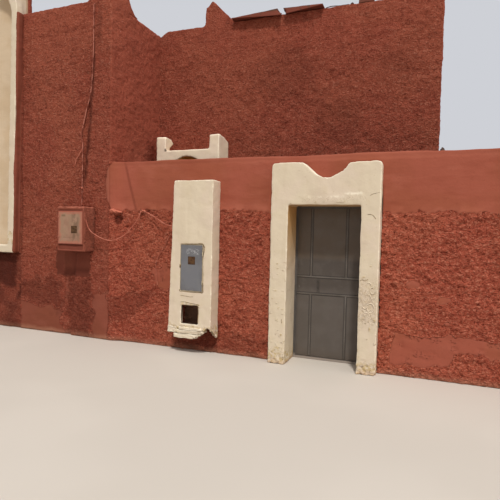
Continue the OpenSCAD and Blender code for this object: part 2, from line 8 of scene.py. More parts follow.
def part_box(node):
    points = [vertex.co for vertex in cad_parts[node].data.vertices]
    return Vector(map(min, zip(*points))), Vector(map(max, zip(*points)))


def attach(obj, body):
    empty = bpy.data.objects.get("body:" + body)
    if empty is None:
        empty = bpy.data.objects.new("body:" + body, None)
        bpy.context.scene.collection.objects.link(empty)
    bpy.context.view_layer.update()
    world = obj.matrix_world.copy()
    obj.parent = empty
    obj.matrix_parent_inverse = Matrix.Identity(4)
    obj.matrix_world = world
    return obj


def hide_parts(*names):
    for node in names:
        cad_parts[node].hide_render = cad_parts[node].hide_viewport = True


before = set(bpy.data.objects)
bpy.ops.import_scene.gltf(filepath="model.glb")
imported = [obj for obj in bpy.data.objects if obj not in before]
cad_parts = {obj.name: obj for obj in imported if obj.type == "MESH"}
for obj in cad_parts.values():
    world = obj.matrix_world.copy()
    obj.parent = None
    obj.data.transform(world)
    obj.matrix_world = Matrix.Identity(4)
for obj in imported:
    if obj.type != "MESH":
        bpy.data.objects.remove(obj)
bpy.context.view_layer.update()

# Places are given from the street doorway's middle, the street face of the walls and the ground, in metres
DOOR_X = (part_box("portal_head")[0].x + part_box("portal_head")[1].x) / 2
STREET_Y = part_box("street_wall_left")[0].y
CORNER_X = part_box("street_wall_left")[0].x - DOOR_X
WALL_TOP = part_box("street_wall_left")[1].z
MAIN_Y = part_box("main_wall_left")[0].y - STREET_Y
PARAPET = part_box("rear_wall")[1].z
LEFT_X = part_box("left_wall")[0].x - DOOR_X
MAIN_RIGHT_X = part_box("main_wall_right")[1].x - DOOR_X
YARD_RIGHT_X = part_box("yard_side_wall")[1].x - DOOR_X
HOUSE_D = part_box("rear_wall")[1].y - STREET_Y
PORTAL_HALF = (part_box("portal_head")[1].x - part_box("portal_head")[0].x) / 2
PILLAR_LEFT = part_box("meter_pillar")[0].x - DOOR_X
PILLAR_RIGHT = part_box("meter_pillar")[1].x - DOOR_X

# Thicknesses of the walls, the roof decks' underside, and the height below which inner faces are plain
WALL_T = 0.40
PARAPET_T = 0.25
YARD_T = 0.38
DECK_LOW = 4.6
ROOM_FACE_TOP = 4.7

# Lower edge of the smooth band along the top of the yard walls
BAND_Z = 2.065

# Street portal and doorway
DOORWAY_HALF = 0.478
DOORWAY_TOP = 2.15
PORTAL_Y = -0.15

# Steel door: the leaf's half width and ends, its upright bars, and the rail between its two cross bars
LEAF_HALF = 0.449
LEAF_FOOT = 0.037
LEAF_TOP = 2.121
LEAF_Y = 0.295
BAR_X = 0.245
RAIL_Z = 1.045
RAIL_HALF = 0.12

# Bay: the right end of the wall behind it, and the underside of its sill
BAY_WALL_END = -5.3475
BAY_SILL_Z = 1.30

# Inner doorway: middle across, half width, and top of its arch
INNER_X = -2.638
INNER_HALF = 0.37
INNER_TOP = 3.08

# Meter pillar's middle and face, where its hollows begin, its open niche, and the middle of its cabinet
PILLAR_X = -1.852
PILLAR_Y = -0.25
HOLLOW_Y = -0.235
NICHE_Z = 0.575
NICHE_HALF = (0.128, 0.14)
CABINET_Z = 1.2425

# Meter box: its middle and face, and the space in its surround
BOX_X = -4.002
BOX_Z = 1.782
BOX_Y = -0.28
SURROUND_LEFT, SURROUND_RIGHT = -4.262, -3.742
SURROUND_FOOT = 1.42

# Meter windows: half size, and their middles on the two lids
PANE_HALF = 0.063
PILLAR_PANE = (PILLAR_X, PILLAR_Y, 1.348)
BOX_PANE = (-3.734 - 0.025 - 0.168, BOX_Y, 1.747)


def spot(x, y, z):
    """The point in the scene that stands at a place from the doorway."""
    return Vector((DOOR_X + x, STREET_Y + y, z))


def paint(r, g, b):
    """A colour written in screen values from 0 to 255, as the shader wants it."""
    linear = [c / 3294.6 if c <= 10.3 else ((c / 255 + 0.055) / 1.055) ** 2.4 for c in (r, g, b)]
    return (*linear, 1.0)


# Camera: it stands in the street at eye height and looks to the left of square on
EYE = (1.266, -6.067, 1.778)
YAW, PITCH, ROLL = -0.3663, -0.0398, 0.0230
LENS_MM = 33.225
SENSOR_MM = 36


def add_camera():
    ahead = Vector((math.sin(YAW) * math.cos(PITCH), math.cos(YAW) * math.cos(PITCH), math.sin(PITCH)))
    level = Vector((math.cos(YAW), -math.sin(YAW), 0))
    above = level.cross(ahead)
    right = math.cos(ROLL) * level + math.sin(ROLL) * above
    up = math.cos(ROLL) * above - math.sin(ROLL) * level
    lens = bpy.data.cameras.new("street_view")
    lens.sensor_width = SENSOR_MM
    lens.lens = LENS_MM
    camera = bpy.data.objects.new("street_view", lens)
    turn = Matrix((right, up, -ahead)).transposed()
    camera.matrix_world = Matrix.Translation(spot(*EYE)) @ turn.to_4x4()
    bpy.context.collection.objects.link(camera)
    bpy.context.scene.camera = camera


add_camera()

# Cables: the service cable is clipped down the tall block, the link cable hangs from the box to the pillar
SERVICE_T = 0.018
LINK_T = 0.012
SERVICE_ROUTE = [(-3.797, .008, 5.352), (-3.797, -.007, 5.332), (-3.797, -.015, 5.315), (-3.797, -.02, 5.285),
    (-3.796, -.02, 5), (-3.798, -.02, 4.575), (-3.816, -.02, 4.2), (-3.838, -.02, 3.98),
    (-3.872, -.02, 3.83), (-3.918, -.02, 3.7), (-3.965, -.02, 3.52), (-4.005, -.02, 3.38),
    (-4.025, -.02, 3.27), (-4.01, -.02, 3.18), (-3.995, -.02, 3.12), (-3.995, -.02, 2.9),
    (-3.997, -.02, 2.6), (-3.999, -.02, 2.3), (-4.006, -.02, 2.16), (-4.01, -.02, 2.095)]
LINK_ROUTE = [(-3.742, -.235, 1.925), (-3.732, -.235, 1.895), (-3.718, -.234, 1.85), (-3.69, -.231, 1.785),
    (-3.64, -.222, 1.72), (-3.566, -.2, 1.668), (-3.5, -.185, 1.632), (-3.437, -.17, 1.61),
    (-3.338, -.15, 1.59), (-3.232, -.13, 1.614), (-3.16, -.115, 1.648), (-3.088, -.1, 1.696),
    (-3.03, -.085, 1.76), (-2.98, -.072, 1.818), (-2.927, -.06, 1.89), (-2.89, -.05, 1.955),
    (-2.868, -.042, 2.02), (-2.85, -.036, 2.056), (-2.825, -.036, 2.062), (-2.78, -.04, 2.046),
    (-2.684, -.05, 2.008), (-2.6, -.06, 1.97), (-2.547, -.07, 1.942), (-2.48, -.08, 1.908),
    (-2.429, -.088, 1.88), (-2.36, -.1, 1.852), (-2.29, -.112, 1.838), (-2.23, -.12, 1.834),
    (-2.159, -.125, 1.833)]


def run_cable(name, route, diameter):
    """A cable along a smooth line through the points; its thickness is in the points, so its box is right."""
    line = bpy.data.curves.new(name, "CURVE")
    line.dimensions = "3D"
    line.bevel_depth = 1.0
    line.bevel_resolution = 3
    line.resolution_u = 6
    line.use_fill_caps = True
    spline = line.splines.new("BEZIER")
    spline.bezier_points.add(len(route) - 1)
    places = [spot(*place) for place in route]
    for n, point in enumerate(spline.bezier_points):
        lead = (places[min(n + 1, len(places) - 1)] - places[max(n - 1, 0)]) / 6
        point.handle_left_type = point.handle_right_type = "FREE"
        point.co = places[n]
        point.radius = diameter / 2
        point.handle_left = places[n] - lead
        point.handle_right = places[n] + lead
    cable = bpy.data.objects.new(name, line)
    bpy.context.collection.objects.link(cable)
    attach(cable, "house")
    return cable


service_jacket = run_cable("service_jacket", SERVICE_ROUTE, SERVICE_T)
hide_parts("service_cable")
link_jacket = run_cable("link_jacket", LINK_ROUTE, LINK_T)
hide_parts("link_cable")


class Shades:
    """The shader nodes of one material or group; where is the place that its patterns are read at."""

    def __init__(self, tree):
        self.tree = tree
        self.where = None

    def feed(self, value, socket):
        if isinstance(value, bpy.types.NodeSocket):
            self.tree.links.new(value, socket)
        else:
            socket.default_value = value

    def put(self, kind, sockets=None, **settings):
        made = self.tree.nodes.new(kind)
        for key, value in settings.items():
            setattr(made, key, value)
        for key, value in (sockets or {}).items():
            self.feed(value, made.inputs[key])
        return made

    def calc(self, operation, a, b=0.0, c=0.0):
        return self.put("ShaderNodeMath", {0: a, 1: b, 2: c}, operation=operation).outputs[0]

    def times(self, a, b):
        return self.calc("MULTIPLY", a, b)

    def apart(self, value, middle):
        """How far a value is from the middle."""
        return self.calc("ABSOLUTE", self.calc("SUBTRACT", value, middle))

    def between(self, value, low, high, to_low=0.0, to_high=1.0):
        return self.put("ShaderNodeMapRange", {0: value, 1: low, 2: high, 3: to_low, 4: to_high},
            interpolation_type="SMOOTHSTEP").outputs[0]

    def axes(self, where):
        return self.put("ShaderNodeSeparateXYZ", {0: where}).outputs

    def stretched(self, scale, where=None, offset=(0, 0, 0)):
        where = self.where if where is None else where
        return self.put("ShaderNodeMapping", {"Vector": where, "Scale": scale, "Location": offset}).outputs[0]

    def from_place(self, x, y, z):
        """The coordinates, counted from a place."""
        return self.stretched((1, 1, 1), offset=tuple(-spot(x, y, z)))

    def cloud(self, where, scale, detail=2.0, roughness=0.5, warp=0.0):
        return self.put("ShaderNodeTexNoise", {"Vector": where, "Scale": scale, "Detail": detail,
            "Roughness": roughness, "Distortion": warp}).outputs["Fac"]

    def noise(self, size, detail=2.0, roughness=0.5, warp=0.0, where=None):
        return self.cloud(self.where if where is None else where, 1 / size, detail, roughness, warp)

    def mix(self, share, a, b):
        return self.put("ShaderNodeMix", {0: share, 6: a, 7: b}, data_type="RGBA").outputs[2]

    def use(self, group, where=None, **values):
        """A shader group's outputs, with its inputs given by name."""
        made = self.put("ShaderNodeGroup", node_tree=group)
        self.feed(self.where if where is None else where, made.inputs["Vector"])
        for key, value in values.items():
            self.feed(value, made.inputs[key.replace("_", " ")])
        return made.outputs


def new_group(name, values, outputs):
    """A shader group that takes a place and some values and gives masks; given and out are its two ends."""
    tree = bpy.data.node_groups.new(name, "ShaderNodeTree")
    tree.interface.new_socket(name="Vector", in_out="INPUT", socket_type="NodeSocketVector")
    for label, value in values.items():
        socket = tree.interface.new_socket(name=label, in_out="INPUT", socket_type="NodeSocketFloat")
        socket.default_value = value
    for label in outputs:
        tree.interface.new_socket(name=label, in_out="OUTPUT", socket_type="NodeSocketFloat")
    made = Shades(tree)
    made.given = made.put("NodeGroupInput").outputs
    made.out = made.put("NodeGroupOutput").inputs
    made.where = made.given["Vector"]
    return made


def group_patches():
    """Soft patches of a size: a mask that rises from 0 to 1 where the noise passes from Low to High."""
    g = new_group("patches", {"Size": 1.0, "Low": 0.4, "High": 0.6}, ["Mask"])
    cloud = g.cloud(g.where, g.calc("DIVIDE", 1.0, g.given["Size"]), 3.0)
    g.feed(g.between(cloud, g.given["Low"], g.given["High"]), g.out["Mask"])
    return g.tree


def group_throw():
    """Thrown render: its height, painted shade in the short creases between grains and painted highlight on
    their tips.
    """
    g = new_group("thrown_render", {"Size": 0.03}, ["Height", "Crease_Shade", "Tip_Highlight"])
    scale = g.calc("DIVIDE", 1.0, g.given["Size"])
    wide = g.stretched((0.60, 0.60, 1.0))
    lumps = g.cloud(wide, scale, 4.0, 0.64, 0.9)
    fine = g.cloud(wide, g.times(scale, 2.3), 2.0, 0.5, 0.4)
    height = g.calc("ADD", lumps, g.times(fine, 0.5))
    g.feed(height, g.out["Height"])
    g.feed(g.between(height, 0.715, 0.60), g.out["Crease_Shade"])
    g.feed(g.between(height, 0.79, 0.89), g.out["Tip_Highlight"])
    return g.tree


def group_dust():
    """Sand and splashes near the ground: a mask that fades out at about Height above it."""
    g = new_group("ground_dust", {"Height": 0.4}, ["Mask"])
    reach = g.times(g.given["Height"], g.calc("ADD", g.noise(0.3, 4.0, 0.6), 0.2))
    g.feed(g.between(g.calc("DIVIDE", g.axes(g.where)["Z"], reach), 1.0, 0.0), g.out["Mask"])
    return g.tree


def group_streaks():
    """Long upright runs left by rain."""
    g = new_group("rain_streaks", {}, ["Mask"])
    broad = g.noise(1.0, 3.0, 0.6, where=g.stretched((6.0, 6.0, 0.7)))
    fine = g.noise(1.0, 2.0, where=g.stretched((21.0, 21.0, 1.9)))
    g.feed(g.between(g.calc("MULTIPLY_ADD", fine, 0.4, broad), 0.66, 0.90), g.out["Mask"])
    return g.tree


def group_rim():
    """The uneven rim of a panel in the XZ plane, counted from its middle: 1 at its edges."""
    g = new_group("panel_rim", {"Half Width": 0.2, "Half Height": 0.3, "Reach": 0.03, "Grain": 0.05},
        ["Mask"])
    axes = g.axes(g.where)
    sides = g.calc("SUBTRACT", g.given["Half Width"], g.calc("ABSOLUTE", axes["X"]))
    ends = g.calc("SUBTRACT", g.given["Half Height"], g.calc("ABSOLUTE", axes["Z"]))
    wander = g.cloud(g.where, g.calc("DIVIDE", 1.0, g.given["Grain"]), 4.0, 0.6)
    reach = g.times(g.given["Reach"], g.times(wander, 2.0))
    g.feed(g.between(g.calc("DIVIDE", g.calc("MINIMUM", sides, ends), reach), 1.15, 0.85), g.out["Mask"])
    return g.tree


def group_wear():
    """Handling wear of painted steel: rubbed patches, fine scratches and rust spots."""
    g = new_group("steel_wear", {"Size": 0.1}, ["Rubbed", "Scratches", "Rust"])
    scale = g.calc("DIVIDE", 1.0, g.given["Size"])
    rub = g.cloud(g.where, scale, 4.0, 0.6)
    lines = g.cloud(g.stretched((30.0, 30.0, 3.0)), 1.6)
    spots = g.cloud(g.where, g.times(scale, 3.0), 3.0, 0.7)
    g.feed(g.between(rub, 0.46, 0.64), g.out["Rubbed"])
    g.feed(g.between(lines, 0.63, 0.72), g.out["Scratches"])
    g.feed(g.between(spots, 0.66, 0.72), g.out["Rust"])
    return g.tree


PATCH_GROUP = group_patches()
THROW_GROUP = group_throw()
DUST_GROUP = group_dust()
STREAK_GROUP = group_streaks()
RIM_GROUP = group_rim()
WEAR_GROUP = group_wear()


class Finish(Shades):
    """A material, whose patterns are read at the place on the object."""

    def __init__(self, name, roughness, specular=0.25, metallic=0.0):
        self.material = bpy.data.materials.new(name)
        self.material.use_nodes = True
        super().__init__(self.material.node_tree)
        self.shader = self.tree.nodes["Principled BSDF"]
        self.feed(roughness, self.shader.inputs["Roughness"])
        self.feed(specular, self.shader.inputs["Specular IOR Level"])
        self.feed(metallic, self.shader.inputs["Metallic"])
        self.where = self.put("ShaderNodeTexCoord").outputs["Object"]

    def patches(self, size, low=0.42, high=0.6, where=None):
        return self.use(PATCH_GROUP, where, Size=size, Low=low, High=high)["Mask"]

    def dust(self, height):
        return self.use(DUST_GROUP, Height=height)["Mask"]

    def streaks(self):
        return self.use(STREAK_GROUP)["Mask"]

    def rim(self, where, half_width, half_height, reach, grain):
        return self.use(RIM_GROUP, where, Half_Width=half_width, Half_Height=half_height, Reach=reach,
            Grain=grain)["Mask"]

    def layer(self, name):
        """A value from 0 to 1 that the piece keeps on its corners."""
        return self.put("ShaderNodeAttribute", attribute_name=name).outputs["Fac"]

    def mottled(self, size, first, second):
        return self.mix(self.patches(size), first, second)

    def coats(self, base, *tops):
        """Colours laid over a base, each as strong as its amount where its share is 1."""
        for share, amount, top in tops:
            base = self.mix(self.times(share, amount), base, top)
        return base

    def finish(self, base, height=None, distance=0.002, gloss=None):
        self.feed(base, self.shader.inputs["Base Color"])
        if height is not None:
            bump = self.put("ShaderNodeBump", {"Height": height, "Distance": distance, "Strength": 1.0})
            self.feed(bump.outputs["Normal"], self.shader.inputs["Normal"])
        if gloss is not None:
            self.feed(gloss, self.shader.inputs["Roughness"])
        return self.material


def make_red_limewash(name, shift, depth):
    """Red limewash over thrown render with smooth trowelled places, whose grains and swells carry painted
    shade and highlight; shift is its tone, depth its contrast.
    """
    def tone(r, g, b):
        return paint(r * shift, g * shift, b * shift)
    m = Finish(name, 0.94, 0.12)
    grain = m.use(THROW_GROUP, Size=0.0235)
    loud = m.calc("MULTIPLY_ADD", m.layer("quiet"), -0.5, 1.0)
    # Painted shade of the render's swells, in wavy bands
    wave_shade = m.between(m.noise(0.12, 3.0, 0.6, 1.2, m.stretched((0.5, 0.5, 1.2))), 0.50, 0.64)
    rough = m.coats(m.mottled(1.3, tone(186, 93, 71), tone(193, 101, 76)),
        (m.patches(0.22, 0.5, 0.68), 0.35, tone(158, 76, 55)),
        (wave_shade, 0.34 * depth, tone(134, 56, 40)),
        # Painted shade in the grains' creases and painted highlight on their tips
        (m.times(grain["Crease_Shade"], loud), 0.56 * depth, tone(92, 32, 22)),
        (m.times(grain["Tip_Highlight"], loud), 0.45 * depth, tone(226, 150, 122)))
    calm = m.coats(m.mottled(0.9, tone(157, 85, 67), tone(151, 83, 62)),
        (m.patches(0.24, 0.50, 0.7, m.stretched((0.6, 0.6, 1.3))), 0.45, tone(166, 96, 77)),
        (m.patches(0.15, 0.48, 0.70, m.stretched((0.35, 0.35, 1.6))), 0.32, tone(141, 71, 53)),
        (m.streaks(), 0.14, tone(146, 76, 57)),
        (m.patches(0.045, 0.62, 0.72), 0.35, tone(140, 74, 56)))
    ragged = m.calc("SUBTRACT", m.noise(0.02, 3.0), 0.5)
    even = m.between(m.calc("MULTIPLY_ADD", ragged, 0.5, m.layer("smooth")), 0.42, 0.58)
    mixed = m.coats(m.mix(even, rough, calm),
        # Stains and damp, and painted shade where a piece marks it
        (m.layer("stain"), 0.85, tone(90, 38, 27)),
        (m.layer("pale"), 0.8, tone(208, 124, 100)),
        (m.dust(0.16), 0.4, paint(196, 146, 118)))
    mixed = m.mix(m.layer("niche"), mixed, m.mottled(0.5, paint(206, 184, 156), paint(200, 176, 146)))
    trowel = m.calc("MULTIPLY_ADD", m.noise(0.16, 2.0, where=m.stretched((0.5, 0.5, 1.2))), 0.16,
        m.times(m.noise(0.03, 4.0, 0.6), 0.045))
    height = m.put("ShaderNodeMix", {0: even, 2: m.times(grain["Height"], loud), 3: trowel},
        data_type="FLOAT").outputs[0]
    return m.finish(mixed, height, 0.043 * depth)


def make_cream_limewash(name, shift, ochre):
    """Cream limewash on trowelled plaster: whiter arrises, partly painted highlight, reveals tinted warm with
    painted bounce light, peeling and crumbling feet.
    """
    def tone(r, g, b):
        return paint(r * shift, g * shift, b * shift)
    m = Finish(name, 0.9, 0.15)
    base = m.coats(m.mottled(0.6, tone(219, 203, 178), tone(219, 201, 179)),
        (m.patches(0.13, 0.5, 0.7), 0.35, tone(213, 196, 166)),
        (m.streaks(), 0.12, tone(190, 168, 138)),
        (m.patches(0.032, 0.66, 0.73), 0.4, tone(190, 164, 132)))
    contour = m.calc("FRACT", m.times(m.noise(0.10, 2.0, 0.4, 0.5), 13.0))
    curl = m.times(m.between(m.apart(contour, 0.5), 0.10, 0.03), m.layer("peel"))
    base = m.coats(m.mix(m.layer("ochre"), base, ochre),
        (m.times(m.layer("worn"), m.patches(0.05, 0.44, 0.60)), 0.75, tone(198, 172, 118)),
        (m.times(m.layer("worn"), m.patches(0.022, 0.60, 0.66)), 0.8, tone(128, 104, 76)),
        (curl, 0.75, tone(150, 122, 90)),
        # Whitened arrises: paler limewash, with painted highlight where they face up
        (m.layer("edge"), 0.85, tone(248, 238, 216)),
        # Painted shade where a piece marks it, and the darkened inside of the pillar's niche
        (m.layer("stain"), 0.9, paint(58, 36, 26)),
        (m.dust(0.14), 0.5, paint(210, 176, 142)))
    fine = m.calc("MULTIPLY_ADD", m.noise(0.22, 3.0), 1.6, m.noise(0.03, 5.0, 0.6))
    flakes = m.times(m.noise(0.035, 4.0, 0.65, 1.0), m.layer("worn"))
    lips = m.times(contour, m.layer("peel"))
    height = m.calc("MULTIPLY_ADD", flakes, 5.0, m.calc("MULTIPLY_ADD", lips, 1.2, fine))
    return m.finish(base, height, 0.0022)


def make_door_paint():
    """Brown-grey oil paint: painted shade from the rail up to about 1.4 m, painted shade and dirt along the
    bars, runs, rust and dust.
    """
    m = Finish("door_oil_paint", 0.55, 0.35)
    axes = m.axes(m.from_place(0, 0.29, 0))
    wear = m.use(WEAR_GROUP, Size=0.16)
    # Painted shade: darker from the rail up to about 1.4 m, below where the lintel's cast shadow ends; paler
    # below with dust
    base = m.mix(m.between(axes["Z"], 0.92, 1.06), paint(94, 86, 80), paint(78, 70, 64))
    base = m.mix(m.between(axes["Z"], 1.37, 1.46), base, paint(97, 85, 74))
    from_rail = m.apart(axes["Z"], RAIL_Z)
    off_panel = m.calc("SUBTRACT", 1.0, m.between(from_rail, 0.10, 0.12))
    beside_bar = m.calc("ADD", m.apart(m.calc("ABSOLUTE", axes["X"]), BAR_X), off_panel)
    # Painted shade and dirt in strips along both sides of the bars and the rail
    bar_shade_and_grime = m.between(m.calc("MINIMUM", beside_bar, m.apart(from_rail, RAIL_HALF)), 0.028, 0.014)
    dark_strip = m.times(m.between(m.apart(axes["X"], -0.14), 0.035, 0.005),
        m.between(m.apart(axes["Z"], 1.03), 0.14, 0.06))
    base = m.coats(base,
        (m.patches(0.4), 0.3, paint(84, 77, 69)),
        (wear["Rubbed"], 0.25, paint(104, 97, 90)),
        (bar_shade_and_grime, 0.72, paint(34, 29, 26)),
        (m.times(dark_strip, m.noise(0.03, 3.0)), 1.0, paint(36, 30, 26)),
        (m.times(wear["Rust"], m.between(axes["Z"], 0.7, 0.1)), 0.6, paint(88, 58, 42)),
        (m.dust(0.35), 0.35, paint(104, 92, 80)))
    gloss = m.between(m.noise(0.2, 3.0), 0.3, 0.7, 0.45, 0.65)
    return m.finish(base, m.noise(0.25, 3.0), 0.003, gloss)


def make_frame_paint():
    """The door frame's grey paint, scratched, with sand and rust at its foot."""
    m = Finish("door_frame_paint", 0.6, 0.3)
    wear = m.use(WEAR_GROUP, Size=0.07)
    base = m.coats(m.mottled(0.2, paint(86, 81, 78), paint(76, 71, 68)),
        (wear["Scratches"], 0.3, paint(116, 111, 107)),
        (m.dust(0.12), 0.75, paint(172, 158, 146)),
        (m.times(wear["Rust"], m.dust(0.4)), 0.9, paint(136, 82, 52)))
    return m.finish(base, m.noise(0.06, 3.0))


def make_bar_paint():
    """The door's flat bars: the same paint, rubbed paler along their edges."""
    m = Finish("door_bar_paint", 0.5, 0.35)
    wear = m.use(WEAR_GROUP, Size=0.08)
    base = m.coats(m.mottled(0.3, paint(104, 97, 91), paint(90, 83, 76)),
        (wear["Rubbed"], 0.4, paint(96, 90, 83)),
        (wear["Scratches"], 0.35, paint(118, 111, 103)),
        (wear["Rust"], 0.5, paint(112, 76, 54)))
    return m.finish(base, m.noise(0.05, 3.0), 0.001)


def make_cabinet_paint():
    """Grey meter cabinet: cream splashed over its rim and a rubbed-out chalk smudge near the top."""
    m = Finish("cabinet_grey_paint", 0.55, 0.35)
    here = m.from_place(PILLAR_X, PILLAR_Y, CABINET_Z)
    axes = m.axes(here)
    wear = m.use(WEAR_GROUP, Size=0.1)
    smudge = m.times(m.between(m.apart(axes["Z"], 0.235), 0.05, 0.03),
        m.between(m.apart(axes["X"], 0.02), 0.12, 0.07))
    chalk = m.between(m.noise(0.018, 3.0, 0.6, 0.8), 0.48, 0.62)
    base = m.coats(m.mottled(0.3, paint(112, 112, 116), paint(104, 103, 106)),
        (wear["Rubbed"], 0.3, paint(122, 120, 120)),
        (wear["Scratches"], 0.2, paint(140, 138, 136)),
        (m.times(smudge, chalk), 0.6, paint(196, 194, 194)),
        (m.rim(here, 0.181, 0.3375, 0.013, 0.03), 0.75, paint(60, 52, 44)),
        (m.rim(here, 0.178, 0.334, 0.007, 0.06), 0.85, paint(214, 196, 164)))
    return m.finish(base, m.noise(0.12, 3.0))


def make_box_paint():
    """Beige-grey meter box: the wall's red sprayed over its rim, soft gloom, a smudge and a faint line."""
    m = Finish("box_beige_paint", 0.7, 0.25)
    here = m.from_place(BOX_X, BOX_Y, BOX_Z)
    axes = m.axes(here)
    wear = m.use(WEAR_GROUP, Size=0.12)
    half_width, half_height = 0.243, 0.267
    gloom = m.times(m.between(m.apart(axes["X"], 0.10), 0.11, 0.02),
        m.between(m.noise(0.09, 3.0, where=m.stretched((1.0, 1.0, 0.55), here)), 0.42, 0.58))
    top_edge = m.between(m.calc("MULTIPLY_ADD", m.noise(0.05, 3.0), 0.012, axes["Z"]), 0.240, 0.252)
    smudge = m.times(m.between(m.apart(axes["X"], -0.135), 0.05, 0.02),
        m.between(m.apart(axes["Z"], 0.185), 0.022, 0.006))
    line = m.times(m.between(m.apart(axes["Z"], -0.16), 0.012, 0.003), m.patches(0.08))
    base = m.coats(m.mottled(0.25, paint(153, 121, 98), paint(148, 112, 91)),
        (wear["Rubbed"], 0.35, paint(170, 128, 108)),
        (gloom, 0.65, paint(104, 80, 62)),
        (m.rim(here, half_width, half_height, 0.055, 0.09), 0.55, paint(176, 104, 84)),
        (m.rim(here, half_width, half_height, 0.016, 0.05), 0.7, paint(166, 90, 72)),
        (top_edge, 0.85, paint(158, 84, 66)),
        (smudge, 0.6, paint(92, 74, 52)),
        (line, 0.4, paint(120, 88, 70)),
        (wear["Rust"], 0.5, paint(120, 70, 52)))
    return m.finish(base, m.noise(0.08, 4.0), 0.003)


def make_pane():
    """A meter's little window, blind with dirt."""
    m = Finish("meter_window", 0.65, 0.1)
    base = m.coats(m.mottled(0.04, paint(70, 48, 32), paint(92, 66, 44)),
        (m.patches(0.015, 0.5, 0.7), 0.4, paint(104, 80, 62)))
    gloss = m.between(m.noise(0.02, 3.0), 0.3, 0.7, 0.4, 0.7)
    return m.finish(base, m.noise(0.02, 2.0), 0.0005, gloss)


def make_wood():
    """Old boards: grain along X, and limewash splashed on the front."""
    m = Finish("weathered_boards", 0.85, 0.15)
    grain = m.noise(0.012, 5.0, 0.65, 0.6, m.stretched((0.12, 1.0, 1.0)))
    base = m.coats(m.mix(m.between(grain, 0.35, 0.65), paint(76, 52, 42), paint(104, 74, 60)),
        (m.patches(0.2), 0.4, paint(96, 74, 62)),
        (m.times(m.layer("pale"), m.patches(0.09, 0.30, 0.42)), 0.9, paint(126, 66, 52)))
    return m.finish(base, grain, 0.004)


def make_cable_paint(name, light, dark, share):
    """A cable's dark jacket, limewashed over to that share, with a few bare spots."""
    m = Finish(name, 0.8, 0.2)
    base = m.coats(m.mix(m.times(m.patches(0.09, 0.44, 0.56), share), dark, light),
        (m.patches(0.02, 0.62, 0.7), 0.5, paint(84, 56, 48)))
    return m.finish(base, m.noise(0.02, 3.0))


def make_earth(name, light, dark, pebble):
    """Rammed earth with a fine gravel and dried puddles."""
    m = Finish(name, 0.95, 0.1)
    stones = m.put("ShaderNodeTexVoronoi", {"Vector": m.where, "Scale": 60.0}).outputs["Distance"]
    cracks = m.put("ShaderNodeTexVoronoi", {"Vector": m.where, "Scale": 4.5},
        feature="DISTANCE_TO_EDGE").outputs["Distance"]
    split = m.times(m.between(cracks, 0.018, 0.006), m.patches(0.8, 0.5, 0.6))
    base = m.coats(m.mottled(1.2, light, dark),
        (m.patches(0.25, 0.5, 0.7), 0.4, dark),
        (m.times(m.between(stones, 0.28, 0.18), m.patches(0.3)), 0.5, pebble),
        (split, 0.6, paint(88, 62, 46)))
    return m.finish(base, m.calc("SUBTRACT", m.noise(0.08, 5.0, 0.6), m.times(split, 0.6)), 0.012)


def make_crack_shade():
    """Bare plaster inside cracks and seams; on the hole lumps it stands as painted shade."""
    m = Finish("open_crack", 0.95, 0.05)
    return m.finish(m.mottled(0.03, paint(104, 84, 62), paint(152, 128, 96)), m.noise(0.01, 3.0), 0.001)


def make_iron():
    """A rusty hook, partly limewashed with the wall."""
    m = Finish("rusty_iron", 0.7, 0.4, 0.6)
    base = m.coats(m.mottled(0.01, paint(98, 66, 50), paint(132, 84, 62)),
        (m.patches(0.03, 0.5, 0.6), 0.6, paint(150, 84, 68)))
    return m.finish(base, m.noise(0.006, 3.0), 0.001)


def make_stone():
    m = Finish("dark_stone", 0.85, 0.2)
    base = m.coats(m.mottled(0.03, paint(62, 52, 48), paint(92, 74, 66)),
        (m.patches(0.012, 0.55, 0.7), 0.4, paint(126, 98, 86)))
    return m.finish(base, m.noise(0.015, 4.0), 0.004)


red_fresh = make_red_limewash("red_limewash", 1.0, 1.25)
red_old = make_red_limewash("red_limewash_old", 0.835, 1.04)
# Each cream's last colour is the painted bounce light in its reveals; the old cream's is brightest, for its
# shaded soffit
cream = make_cream_limewash("cream_limewash", 0.982, paint(188, 145, 91))
cream_bay = make_cream_limewash("cream_limewash_bay", 0.96, paint(196, 152, 96))
cream_old = make_cream_limewash("cream_limewash_old", 1.05, paint(250, 205, 122))
door_paint = make_door_paint()
frame_paint = make_frame_paint()
bar_paint = make_bar_paint()
cabinet_paint = make_cabinet_paint()
box_paint = make_box_paint()
pane_material = make_pane()
board_wood = make_wood()
cable_paint = make_cable_paint("painted_jacket", paint(206, 134, 114), paint(128, 66, 51), 0.55)
link_paint = make_cable_paint("painted_link", paint(200, 124, 103), paint(174, 99, 80), 0.8)
roof_earth = make_earth("roof_earth", paint(196, 160, 128), paint(176, 138, 106), paint(210, 190, 166))
floor_earth = make_earth("floor_earth", paint(190, 158, 130), paint(170, 136, 108), paint(200, 180, 156))
crack_shade = make_crack_shade()
iron = make_iron()
dark_stone = make_stone()
service_jacket.data.materials.append(cable_paint)
link_jacket.data.materials.append(link_paint)


def dress(node, material):
    """Gives a carried-over solid its finish."""
    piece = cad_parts[node]
    if not piece.material_slots:
        piece.data.materials.append(material)
    for slot in piece.material_slots:
        slot.material = material


# Masonry: closed skins made from copies of the solids

def only(piece):
    bpy.ops.object.select_all(action="DESELECT")
    piece.select_set(True)
    bpy.context.view_layer.objects.active = piece


def apply_all(piece):
    only(piece)
    for modifier in list(piece.modifiers):
        bpy.ops.object.modifier_apply(modifier=modifier.name)


def join(name, pieces):
    """One object made of them all."""
    bpy.ops.object.select_all(action="DESELECT")
    for piece in pieces:
        piece.select_set(True)
    bpy.context.view_layer.objects.active = pieces[0]
    if len(pieces) > 1:
        bpy.ops.object.join()
    pieces[0].name = pieces[0].data.name = name
    return pieces[0]


